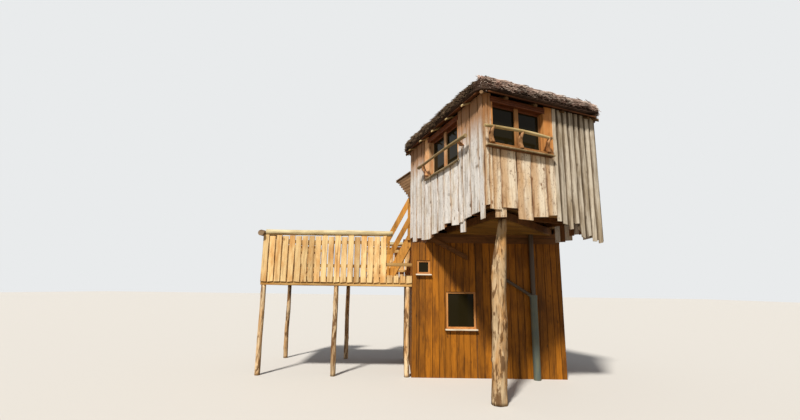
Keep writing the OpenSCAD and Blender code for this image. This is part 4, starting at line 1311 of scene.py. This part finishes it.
def hand_log(place, start, length, floor_z=DECK_Z):
    """A handrail log on a railing's boards."""
    top = floor_z + RAIL_H + HAND_D / 2
    return log(place, [
        (start, 0.000, top, HAND_D), (start + length * 0.30, 0.006, top - 0.003, HAND_D * 0.95),
        (start + length * 0.65, -0.004, top + 0.003, HAND_D * 1.05),
        (start + length, 0.000, top - 0.005, HAND_D * 0.92),
    ], DECK_LOG, "X", rough=0.05, knots=7)


# The left log runs past the front one, which butts against it
HAND_FROM = 0.192
HAND_LEFT_L = DECK_D + HAND_END / 2 + HAND_OUT
hand_front = Matrix.Translation((DECK_X - HAND_PAST, DECK_FRONT + RAIL_POST / 2, 0))
hand_left = wall_place(
    Vector((DECK_X + RAIL_POST / 2, DECK_BACK + HAND_END / 2, 0)), -math.pi / 2
)
hand_back = wall_place(Vector((DECK_RIGHT - 0.010, DECK_BACK - RAIL_POST / 2, 0)), math.pi)
join([
    hand_log(hand_front, HAND_FROM, HAND_PAST + FRONT_RAIL_L + HAND_END - HAND_FROM),
    # The left log's darker colour carries painted shade
    log(hand_left, [
        (0.0, 0.0, HAND_TOP, HAND_D * 0.90),
        (HAND_LEFT_L * 0.35, -0.005, HAND_TOP + 0.003, HAND_D),
        (HAND_LEFT_L * 0.70, -0.030, HAND_TOP - 0.006, HAND_D * 1.02),
        (HAND_LEFT_L, -0.075, HAND_TOP - 0.030, HAND_D * 1.04),
    ], OLD_SHADED_LOG, "X", rough=0.05, knots=7),
    hand_log(hand_back, 0, WAY_FROM),
    hand_log(hand_back, WAY_FROM + DECK_WAY, back_rest + CORNER_GAP - RAIL_POST - HAND_D),
], "deck_hand_logs", "natural_log", "deck_handrails")


# Thatch: a bed of packed brushwood under bundles of loose twigs

ROOF_SKEW = math.sin(math.radians(CORNER_DEGREES))
# The eave's overhang, the roof's plan, and the thatch's underside, thickness and rise
EAVE = 0.200
ROOF_W = FRONT_L + EAVE + 0.120
ROOF_L = LEFT_L + 2 * EAVE
THATCH_Z = 5.170
THATCH_T = 0.150
ROOF_RISE = 0.720
HALF = ROOF_W / 2
# How far the roof boards end inside the edge of the thatch
EDGE_IN = 0.060
BED_TRIM = 0.050
# The thatch thins by this much, within this reach of the front eave's right end
THIN_BY = 0.120
THIN_REACH = 0.550
# The thatch is trimmed round at the corners of the eave
TRIM = 0.38
# The roof boards are sawn off at the corners, this far from the corner along both eaves
SAWN = 0.300


def roof_at(u, v, z):
    """A place on the roof's plan: u from the left eave, v from the front eave."""
    at = plan((u - EAVE) / ROOF_SKEW, (v - EAVE) / ROOF_SKEW)
    return Vector((at.x, at.y, z))


def roof_place(x, y):
    """The distances u and v of a place on the ground plan."""
    across = Vector((x, y, 0)) - CORNER
    along = Vector((math.cos(FRONT_TURN), math.sin(FRONT_TURN)))
    back = Vector((-math.cos(LEFT_TURN), -math.sin(LEFT_TURN)))
    turn = along.x * back.y - along.y * back.x
    s = (across.x * back.y - across.y * back.x) / turn
    t = (along.x * across.y - along.y * across.x) / turn
    return s * ROOF_SKEW + EAVE, t * ROOF_SKEW + EAVE


def trimmed_place(u, v):
    """Draws a place near a corner of the eave in, so that the corner is round."""
    off_u, off_v = HALF - abs(u - HALF), ROOF_L / 2 - abs(v - ROOF_L / 2)
    if off_u < TRIM and off_v < TRIM:
        far_u, far_v = TRIM - off_u, TRIM - off_v
        past = math.hypot(far_u, far_v) / TRIM - 0.92
        if past > 0:
            share = min(past, 0.5) * 0.55
            u += math.copysign(share * far_u, HALF - u)
            v += math.copysign(share * far_v, ROOF_L / 2 - v)
    return u, v


def slope_z(inside):
    return THATCH_Z + THATCH_T + ROOF_RISE * min(inside, HALF) / HALF


def merged_copy(node, name):
    """A copy of a solid node with its loose triangles joined up, active and selected."""
    deselect()
    made = bpy.data.objects.new(name, nodes[node].data.copy())
    bpy.context.collection.objects.link(made)
    bpy.context.view_layer.objects.active = made
    made.select_set(True)
    bpy.ops.object.mode_set(mode="EDIT")
    bpy.ops.mesh.select_all(action="SELECT")
    bpy.ops.mesh.remove_doubles(threshold=0.0005)
    bpy.ops.object.mode_set(mode="OBJECT")
    return made


# The roof boards, sawn off at the four corners so that they don't show past the round thatch
boards = merged_copy("roof_boards", "sawn_roof_boards")
for corner_u, corner_v in ((0, 0), (ROOF_W, 0), (0, ROOF_L), (ROOF_W, ROOF_L)):
    to_u, to_v = math.copysign(SAWN, HALF - corner_u), math.copysign(SAWN, HALF - corner_v)
    first, second = roof_at(corner_u + to_u, corner_v, 0), roof_at(corner_u, corner_v + to_v, 0)
    outwards = roof_at(corner_u, corner_v, 0) - (first + second) / 2
    square = (second - first).cross(Vector((0, 0, 1))).normalized()
    if square.dot(outwards) < 0:
        square = -square
    bpy.ops.object.mode_set(mode="EDIT")
    bpy.ops.mesh.select_all(action="SELECT")
    bpy.ops.mesh.bisect(
        plane_co=first, plane_no=square, use_fill=True, clear_outer=True, threshold=0.0001
    )
    bpy.ops.object.mode_set(mode="OBJECT")
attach(boards, "root")
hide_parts("roof_boards")


bed = merged_copy("thatch", "thatch_bed")
remesh = bed.modifiers.new("packed", "REMESH")
remesh.mode = "VOXEL"
remesh.voxel_size = 0.045
bpy.ops.object.modifier_apply(modifier=remesh.name)
bed_points = points_of(bed.data)
lumps = np.array([
    noise.noise(Vector(p) * 3.0) * 0.6 + noise.noise(Vector(p) * 9.0) * 0.4 for p in bed_points
])
outer = np.array([tuple(v.normal) for v in bed.data.vertices])
# The underside stays flat on the roof boards
facing_up = (outer[:, 2] > -0.3)[:, None]
bed_points += outer * (lumps * 0.030)[:, None] * facing_up
# The bed's edge lies behind the fringe
edge_faces = np.abs(outer[:, 2]) < 0.6
bed_points[edge_faces, :2] -= outer[edge_faces, :2] * 0.050
# Its lower edge is trimmed upwards, past the ends of the roof boards
eave_in = np.array([
    min(u, v, ROOF_W - u, ROOF_L - v) for u, v in (roof_place(x, y) for x, y, z in bed_points)
])
low_edge = (bed_points[:, 2] < THATCH_Z + 0.03) & (eave_in < EDGE_IN)
bed_points[low_edge, 2] += BED_TRIM * (1 - eave_in[low_edge] / EDGE_IN)
# The thatch thins out towards the front eave's right end
for i, (x, y, z) in enumerate(bed_points):
    u, v = roof_place(x, y)
    thinned = max(0, 1 - math.hypot(ROOF_W - u, v) / THIN_REACH)
    if z < THATCH_Z + THATCH_T:
        bed_points[i, 2] += THIN_BY * thinned * (THATCH_Z + THATCH_T - z) / THATCH_T
# Its corners are round too
bed_points[:, :2] = [
    roof_at(*trimmed_place(*roof_place(x, y)), 0).xy for x, y, z in bed_points
]
bed.data.vertices.foreach_set("co", bed_points.ravel())
bed.data.attributes.new("tone", "FLOAT", "POINT").data.foreach_set(
    "value", np.clip(0.5 + lumps, 0, 1)
)
bed.data.materials.clear()
bed.data.materials.append(THATCH_BED)
bpy.ops.object.shade_smooth()
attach(bed, "root")
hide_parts("thatch")

# A bundle's number of twigs, length and width
TWIGS = 30
BUNDLE_L = 0.46
BUNDLE_W = 0.17


def twig_bundle():
    """A flat bundle of twigs along -z, butts together and tips ragged."""
    made = []
    for _ in range(TWIGS):
        length = BUNDLE_L * rng.uniform(0.72, 1.0)
        deselect()
        bpy.ops.mesh.primitive_cylinder_add(
            vertices=4, radius=rng.uniform(0.0045, 0.0085), depth=length,
            location=(
                rng.uniform(-0.5, 0.5) * BUNDLE_W, rng.uniform(-0.018, 0.018),
                -length / 2 + rng.uniform(-0.02, 0.02),
            ),
            rotation=(rng.uniform(-0.05, 0.05), rng.uniform(-0.13, 0.13), 0),
        )
        twig = bpy.context.object
        bpy.ops.object.mode_set(mode="EDIT")
        select_edges(twig, lambda start, end: start.z < 0 and end.z < 0)
        bpy.ops.transform.resize(value=(0.5, 0.5, 1))
        bpy.ops.transform.translate(
            value=(rng.uniform(-0.02, 0.02), rng.uniform(-0.012, 0.008), 0)
        )
        bpy.ops.object.mode_set(mode="OBJECT")
        bpy.ops.object.transform_apply(location=True, rotation=True, scale=True)
        shade = rng.random()
        twig.data.attributes.new("tone", "FLOAT", "POINT").data.foreach_set(
            "value", np.full(len(twig.data.vertices), shade)
        )
        made.append(twig)
    deselect()
    for twig in made:
        twig.select_set(True)
    bpy.context.view_layer.objects.active = made[0]
    bpy.ops.object.join()
    made[0].name = "twig_bundle"
    return made[0]


BUNDLE_KINDS = 4
bundles = [twig_bundle() for _ in range(BUNDLE_KINDS)]
bundle_shapes = [points_of(one.data) for one in bundles]
bundle_tones = []
for one in bundles:
    tones = np.empty(len(one.data.vertices))
    one.data.attributes["tone"].data.foreach_get("value", tones)
    bundle_tones.append(tones)


def lay_bundle(butt_at, tip_at, side, shade, finish):
    """Copies a bundle so that it reaches from its butt to its tips."""
    kind = rng.randrange(len(bundles))
    down = tip_at - butt_at
    reach = down.length / BUNDLE_L
    down.normalize()
    side = (side - down * side.dot(down)).normalized()
    place = Matrix((side, down.cross(side), -down)).transposed().to_4x4()
    place.translation = butt_at
    spread = rng.uniform(0.85, 1.1)
    points = bundle_shapes[kind] * np.array([spread, spread, reach])
    made = bpy.data.objects.new("bundle", bundles[kind].data.copy())
    bpy.context.collection.objects.link(made)
    turned = points @ np.array(place.to_3x3()).T + np.array(place.translation)
    made.data.vertices.foreach_set("co", turned.ravel())
    made.data.attributes["tone"].data.foreach_set(
        "value", np.clip(bundle_tones[kind] * 0.8 + shade * 0.6 - 0.2, 0, 1)
    )
    made.data.materials.clear()
    made.data.materials.append(finish)
    return made


# Each slope: its eave's length, its places by distance along and up from the eave, its finish
SLOPES = {
    "front": (ROOF_W, lambda a, i: (a, i), THATCH),
    "right": (ROOF_L, lambda a, i: (ROOF_W - i, a), THATCH),
    "back": (ROOF_W, lambda a, i: (ROOF_W - a, ROOF_L - i), THATCH),
    "left": (ROOF_L, lambda a, i: (i, ROOF_L - a), DARK_THATCH),
}
# Distance between the rows of bundles up a slope, and between the bundles of a row
ROW_STEP = 0.23
ROW_SPREAD = 0.115
# Layers of the eave from below: butts' distance inwards and height over the bed, tips' reach
# past the bed and height over its lower edge, and spacing
EAVE_LAYERS = [
    (0.34, -0.060, 0.000, 0.048, 0.060),
    (0.36, 0.000, 0.020, 0.085, 0.060),
    (0.40, 0.055, 0.020, 0.135, 0.060),
    (0.44, 0.090, -0.010, 0.195, 0.064),
]
# How much of the lift of the front fringe each layer takes
LIFTED = (0.110, 0.100, 0.060, 0.0)
# No bundle's tips are closer to a corner than this
CORNER_FREE = 0.040
# Bundles fan out within this distance of a corner
HIP_REACH = 0.550
# Nothing hangs over the last of the front eave's right end
RIGHT_END = 0.100


def slope_point(where, along, inside, z):
    return roof_at(*trimmed_place(*where(along, inside)), z)


def fan(along, eave_l, inside, lean):
    """Where the butts of a bundle with its tips at this place lie: it fans out at the hips."""
    if along < HIP_REACH:
        return along + (inside * 0.9) * (1 - along / HIP_REACH) + lean
    if along > eave_l - HIP_REACH:
        return along - (inside * 0.9) * (1 - (eave_l - along) / HIP_REACH) + lean
    return along + lean


for slope_name, (eave_l, where, finish) in SLOPES.items():
    laid = []
    side = (slope_point(where, 1.0, 0, 0) - slope_point(where, 0.0, 0, 0)).normalized()
    for layer, (inner, over, past, up, spread) in enumerate(EAVE_LAYERS):
        along = RIGHT_END if slope_name == "right" else CORNER_FREE
        while along < eave_l - (RIGHT_END if slope_name == "front" else CORNER_FREE):
            lean = -rng.uniform(0.02, 0.16)
            # The front eave's fringe thins out to the right
            lift = LIFTED[layer] * along / eave_l if slope_name == "front" else 0.0
            tip_z = THATCH_Z + up + lift + rng.uniform(-0.045, 0.022)
            tip = slope_point(where, along, -past + rng.uniform(-0.025, 0.020), tip_z)
            butt_along = min(max(fan(along, eave_l, inner, lean), 0.05), eave_l - 0.05)
            butt_in = min(inner, butt_along, eave_l - butt_along)
            butt_at = slope_point(where, butt_along, butt_in, slope_z(butt_in) + over)
            # The lower layers get darker tones: painted shade under the fringe
            laid.append(lay_bundle(
                butt_at, tip, side, rng.random() - (0.35, 0.1, 0.0, 0.0)[layer], finish
            ))
            along += spread * rng.uniform(0.85, 1.15)
    tip_in = 0.16
    while tip_in < HALF - 0.02:
        butt_in = min(tip_in + 0.42, HALF)
        along = tip_in * 0.97
        while along < eave_l - tip_in * 0.97:
            butt_along = min(max(along - rng.uniform(-0.03, 0.12), butt_in), eave_l - butt_in)
            tip = slope_point(where, along, tip_in, slope_z(tip_in) + 0.055)
            butt_at = slope_point(where, butt_along, butt_in, slope_z(butt_in) + 0.035)
            laid.append(lay_bundle(butt_at, tip, side, rng.random(), finish))
            along += ROW_SPREAD * rng.uniform(0.85, 1.15)
        tip_in += ROW_STEP
    join(laid, "thatch_" + slope_name, "thatch")


# Rafters: debarked poles under the roof boards, their pale ends showing at the eaves

# The poles' diameter, that of the left slope's, and their spacing
POLE_D = 0.062
LEFT_POLE_D = 0.042
POLE_STEP = 0.650
# How far the poles end inside the eave: the left ones show
TAIL = 0.110
LEFT_TAIL = 0.020
BOARDS_UNDER = THATCH_Z - 0.022
PITCH_TAN = ROOF_RISE / (HALF - EDGE_IN)


def pole(start, end, width=POLE_D, finish=POLE_WOOD):
    """A pole under the roof boards between two places (u, v) of the roof's plan."""
    ends = []
    for u, v in (start, end):
        inside = min(u, v, ROOF_W - u, ROOF_L - v, HALF)
        ends.append(roof_at(
            u, v, BOARDS_UNDER + (inside - EDGE_IN) * PITCH_TAN - 0.60 * width
        ))
    run = ends[1] - ends[0]
    flat_run = math.hypot(run.x, run.y)
    place = Matrix.Translation(ends[0]) @ Matrix.Rotation(math.atan2(run.y, run.x), 4, "Z")
    return log(place, [
        (0, 0, 0, width), (flat_run * 0.4, 0.006, run.z * 0.4, width * 0.97),
        (flat_run, 0, run.z, width * 0.9),
    ], finish, "X", rough=0.04, knots=2)


rafters = []
v = POLE_STEP
while v < ROOF_L - POLE_STEP / 2:
    reach = min(HALF, v, ROOF_L - v) - 0.03
    rafters.append(pole((LEFT_TAIL, v), (reach, v), LEFT_POLE_D, RAIL_LOG))
    rafters.append(pole((ROOF_W - TAIL, v), (ROOF_W - reach, v)))
    v += POLE_STEP
u = POLE_STEP
while u < ROOF_W - POLE_STEP / 2:
    reach = min(HALF, u, ROOF_W - u) - 0.03
    rafters.append(pole((u, TAIL), (u, reach)))
    rafters.append(pole((u, ROOF_L - TAIL), (u, ROOF_L - reach)))
    u += POLE_STEP
for u in (TAIL, ROOF_W - TAIL):
    for v, top in ((TAIL, HALF), (ROOF_L - TAIL, ROOF_L - HALF)):
        rafters.append(pole((u, v), (HALF, top)))
rafters.append(pole((HALF, HALF), (HALF, ROOF_L - HALF)))
join(rafters, "roof_poles", "natural_log", "roof_frame")


# Door hood: lapped boards on two triangular cheeks, under a nearly level boarded roof

# The hood's height and reach, its roof's overhang, and the cheeks' thickness, height and boards
HOOD_Z = 4.660
HOOD_OUT = 0.860
HOOD_PAST = 0.030
CHEEK_T = 0.036
CHEEK_H = 0.640
LAPS = 8
hood_from = UP_DOOR[0] - 0.110


def hood_cheek(x, outer):
    """Boards across a triangle that narrows from the roof down to the wall."""
    made = []
    lap = CHEEK_H / LAPS
    for i in range(LAPS):
        top = HOOD_Z - 0.03 - i * lap
        out = (HOOD_OUT - HOOD_PAST) * (1 - (i + 0.35) / LAPS)
        if out < 0.05:
            continue
        slip = 0.004 * (1 if outer else -1)
        made.append(plank(
            ON_BACK @ Matrix.Translation((x, 0, 0)),
            (0.003 + slip, -out, top - lap + 0.004), (CHEEK_T - 0.003 + slip, -0.001, top),
            HOOD_WOOD, along="Y", tone=rng.random(),
        ))
    return made


hood = hood_cheek(hood_from, False) + hood_cheek(FRONT_L - CHEEK_T, True)
hood_l, hood_r = hood_from - HOOD_PAST, FRONT_L + HOOD_PAST
# Its roof falls outwards by two degrees
hood_fall = Matrix.Rotation(math.radians(2), 4, "X")
hood_turn = ON_BACK @ Matrix.Translation((0, -0.0003, HOOD_Z - 0.001)) @ hood_fall
HOOD_BOARDS = 8
hood_step = (hood_r - hood_l) / HOOD_BOARDS
for i in range(HOOD_BOARDS):
    hood.append(plank(
        hood_turn, (hood_l + i * hood_step + 0.002, -HOOD_OUT, 0.004 * (i % 2)),
        (hood_l + (i + 1) * hood_step - 0.002, 0.0, 0.026 + 0.004 * (i % 2)), HOOD_WOOD,
        along="Y", cut=0.006,
    ))
hood.append(plank(
    hood_turn, (hood_l, -HOOD_OUT + 0.01, -0.040), (hood_r, -HOOD_OUT + 0.045, 0.002), HOOD_WOOD,
    along="X",
))
join(hood, "door_hood_boards", "weathered_boards", "door_canopy")


# Doors: upright boards on two ledges, with a branch as the handle

# How far the handle stands out, and the doors' depth
HANDLE = 0.045
DOOR_T = 0.040


def board_door(place, opening, face, name, node):
    """A ledged door of upright boards in its opening; the outside is towards y = face."""
    left, right = opening[0] + FREE, opening[1] - FREE
    foot, head = opening[2], opening[3] - FREE
    made = []
    count = round((right - left) / 0.13)
    step = (right - left) / count
    for i in range(count):
        made.append(plank(
            place, (left + i * step + 0.0015, face, foot + 0.004),
            (left + (i + 1) * step - 0.0015, face + 0.024, head - 0.002), DOOR_WOOD,
            tilt=0.001,
        ))
    for z in (foot + 0.14, head - 0.26):
        made.append(plank(
            place, (left + 0.03, face + 0.024, z), (right - 0.03, face + DOOR_T, z + 0.11),
            DOOR_WOOD, along="X",
        ))
    # A short branch as the handle, standing on the boards
    grip = (left + right) / 2 + (right - left) * 0.36
    middle = (foot + head) / 2
    made.append(log(place, [
        (grip, face - 0.002, middle - 0.12, 0.024),
        (grip + 0.004, face - HANDLE, middle - 0.08, 0.026),
        (grip + 0.004, face - HANDLE, middle + 0.08, 0.026),
        (grip, face - 0.002, middle + 0.12, 0.024),
    ], RAIL_LOG, "Z"))
    join(made, name, "oiled_boards", node)


board_door(ON_LOW_BACK, LOW_DOOR, 0.040, "lower_door_boards", "lower_door")
board_door(ON_BACK, UP_DOOR, 0.020, "upper_door_boards", "upper_door")


# Terrace boards and railing behind the cabin, in the same way as the deck's

join(
    railing(ON_LOW_BACK, 0, 2 * LOW_X, TERRACE_Z)
    + railing(ON_LOW_RIGHT, 0, 2 * LOW_Y - CORNER_GAP, TERRACE_Z),
    "terrace_rail_boards", "deck_timber", "terrace_railing",
)
SIDE_PAST = 0.030
side_log = 2 * LOW_Y + SIDE_PAST - RAIL_POST / 2 - HAND_D * 0.6
join([
    hand_log(
        Matrix.Translation((RAIL_POST / 2, -RAIL_POST / 2, 0)) @ ON_LOW_BACK, 0,
        2 * LOW_X + RAIL_POST, TERRACE_Z,
    ),
    hand_log(
        Matrix.Translation((-RAIL_POST / 2, -SIDE_PAST, 0)) @ ON_LOW_RIGHT, 0, side_log, TERRACE_Z
    ),
], "terrace_hand_logs", "natural_log", "terrace_handrails")


def cabin_edge(x):
    """How far back the cabin reaches over the terrace at this x."""
    corner = plan(FRONT_L, LEFT_L)
    if x < corner.x:
        return corner.y - (corner.x - x) * math.tan(FRONT_TURN)
    slope = (plan(FRONT_L, 0).y - corner.y) / (plan(FRONT_L, 0).x - corner.x)
    return max(-LOW_Y, corner.y + (x - corner.x) * slope)


terrace_low, terrace_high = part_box("terrace_floor")
terrace_count = round((terrace_high[0] - terrace_low[0]) / FLOOR_BOARD)
terrace_step = (terrace_high[0] - terrace_low[0]) / terrace_count
terrace_boards = []
for i in range(terrace_count):
    a = terrace_low[0] + i * terrace_step
    b = a + terrace_step - 0.004
    one = plank(
        FLAT, (a, max(cabin_edge(a), cabin_edge(b)), terrace_low[2]),
        (b, terrace_high[1], terrace_high[2]), TERRACE_WOOD, along="Y",
    )
    # The end beside the cabin is sawn along its wall
    corners = points_of(one.data)
    butts = corners[:, 1] < corners[:, 1].min() + 1e-4
    corners[butts, 1] = [cabin_edge(x) + 0.012 for x in corners[butts, 0]]
    one.data.vertices.foreach_set("co", corners.ravel())
    terrace_boards.append(one)
join(terrace_boards, "terrace_planks", "deck_timber", "terrace_floor")


# Lower windows: a planed frame on a sill, in the same places as the solid ones

# The sashes' setback, the sills' reach, thickness and ends, and the boards' nose over them
LOW_SASH_IN = 0.020
LOW_SILL_OUT = 0.070
LOW_SILL_T = 0.028
LOW_SILL_SIDE = 0.025
NOSE_OUT = 0.020
NOSE_T = 0.022


def lower_window(left, right, foot, head):
    """A sash, its sill and the board that closes the gap between them."""
    back = LOW_SASH_IN + SASH_T
    made = [
        plank(ON_LOW_FRONT, (x, LOW_SASH_IN, foot), (x + SASH_W, back, head), OILED_PINE)
        for x in (left, right - SASH_W)
    ]
    made += [
        plank(
            ON_LOW_FRONT, (left + SASH_W, LOW_SASH_IN + 0.002, z),
            (right - SASH_W, back, z + SASH_W), OILED_PINE, along="X",
        )
        for z in (foot, head - SASH_W)
    ]
    made.append(plank(
        ON_LOW_FRONT, (left, -NOSE_OUT, foot + 0.001), (right, LOW_SASH_IN, foot + NOSE_T),
        OILED_PINE, along="X",
    ))
    made.append(plank(
        ON_LOW_FRONT, (left - LOW_SILL_SIDE, -LOW_SILL_OUT, foot - LOW_SILL_T),
        (right + LOW_SILL_SIDE, -FREE, foot), PALE_SILL, along="X",
    ))
    return made


join(
    [one for hole in LOW_WINDOWS for one in lower_window(*hole)],
    "lower_window_joinery", "fresh_timber", "lower_windows",
)
for one in bundles + [BOARD, LOG, THICK_LOG]:
    bpy.data.objects.remove(one)


# Camera, light and floor

# The viewer's eye, the camera's pitch and roll in degrees, and its lens on a 36 mm sensor
EYE = (-1.915, -10.10, 1.83)
PITCH = 101.0
ROLL = 0.77
LENS = 18.09

deselect()
bpy.ops.object.camera_add(location=EYE)
camera = bpy.context.object
tilt = Matrix.Rotation(math.radians(PITCH), 3, "X") @ Matrix.Rotation(math.radians(ROLL), 3, "Z")
camera.rotation_euler = tilt.to_euler()
camera.data.sensor_width = 36
camera.data.lens = LENS
camera.data.clip_end = 300
bpy.context.scene.camera = camera

bpy.ops.object.light_add(type="SUN")
key_light = bpy.context.object
key_light.data.energy = 4.9
key_light.data.angle = math.radians(6)
key_light.data.color = (1.0, 0.955, 0.89)
# The sun stands high in the front left
TO_SUN = Vector((-0.395 * 0.650, -0.919 * 0.650, 0.760))
key_light.rotation_euler = TO_SUN.to_track_quat("Z", "Y").to_euler()

world = bpy.data.worlds.new("pale_studio")
world.use_nodes = True
# The building is lit softly from all round; the camera and the glass see a paler backdrop
around = world.node_tree
around.nodes.clear()
seen = add_node(around, "ShaderNodeLightPath", out="Is Camera Ray")
mirrored = add_node(around, "ShaderNodeLightPath", out="Is Glossy Ray")
soft_light = add_node(
    around, "ShaderNodeBackground", inputs={"Color": "#f4f6ff", "Strength": 0.26}
)
backdrop = add_node(
    around, "ShaderNodeBackground", inputs={"Color": "#e9ebec", "Strength": 1.0}
)
shown = add_node(around, "ShaderNodeMath", {"operation": "MAXIMUM"}, {0: seen, 1: mirrored})
both = add_node(
    around, "ShaderNodeMixShader", inputs={"Fac": shown, 1: soft_light, 2: backdrop}
)
add_node(around, "ShaderNodeOutputWorld", inputs={"Surface": both})
bpy.context.scene.world = world

bpy.ops.mesh.primitive_plane_add(size=160, location=(0, 20, 0))
floor = bpy.context.object
floor.name = "studio_floor"
floor_material, floor_tree = new_material("pale_floor")
# The camera sees the floor pale; the light it throws back on the house is that of dull ground
floor_seen = add_node(floor_tree, "ShaderNodeLightPath", out="Is Camera Ray")
floor_colour = add_node(
    floor_tree, "ShaderNodeMix", {"data_type": "RGBA"},
    {0: floor_seen, 6: "#8a8274", 7: "#c9c6c0"}, out=2,
)
close_material(floor_tree, {"Base Color": floor_colour, "Roughness": 0.9})
floor.data.materials.append(floor_material)

bpy.context.scene.view_settings.view_transform = "Standard"
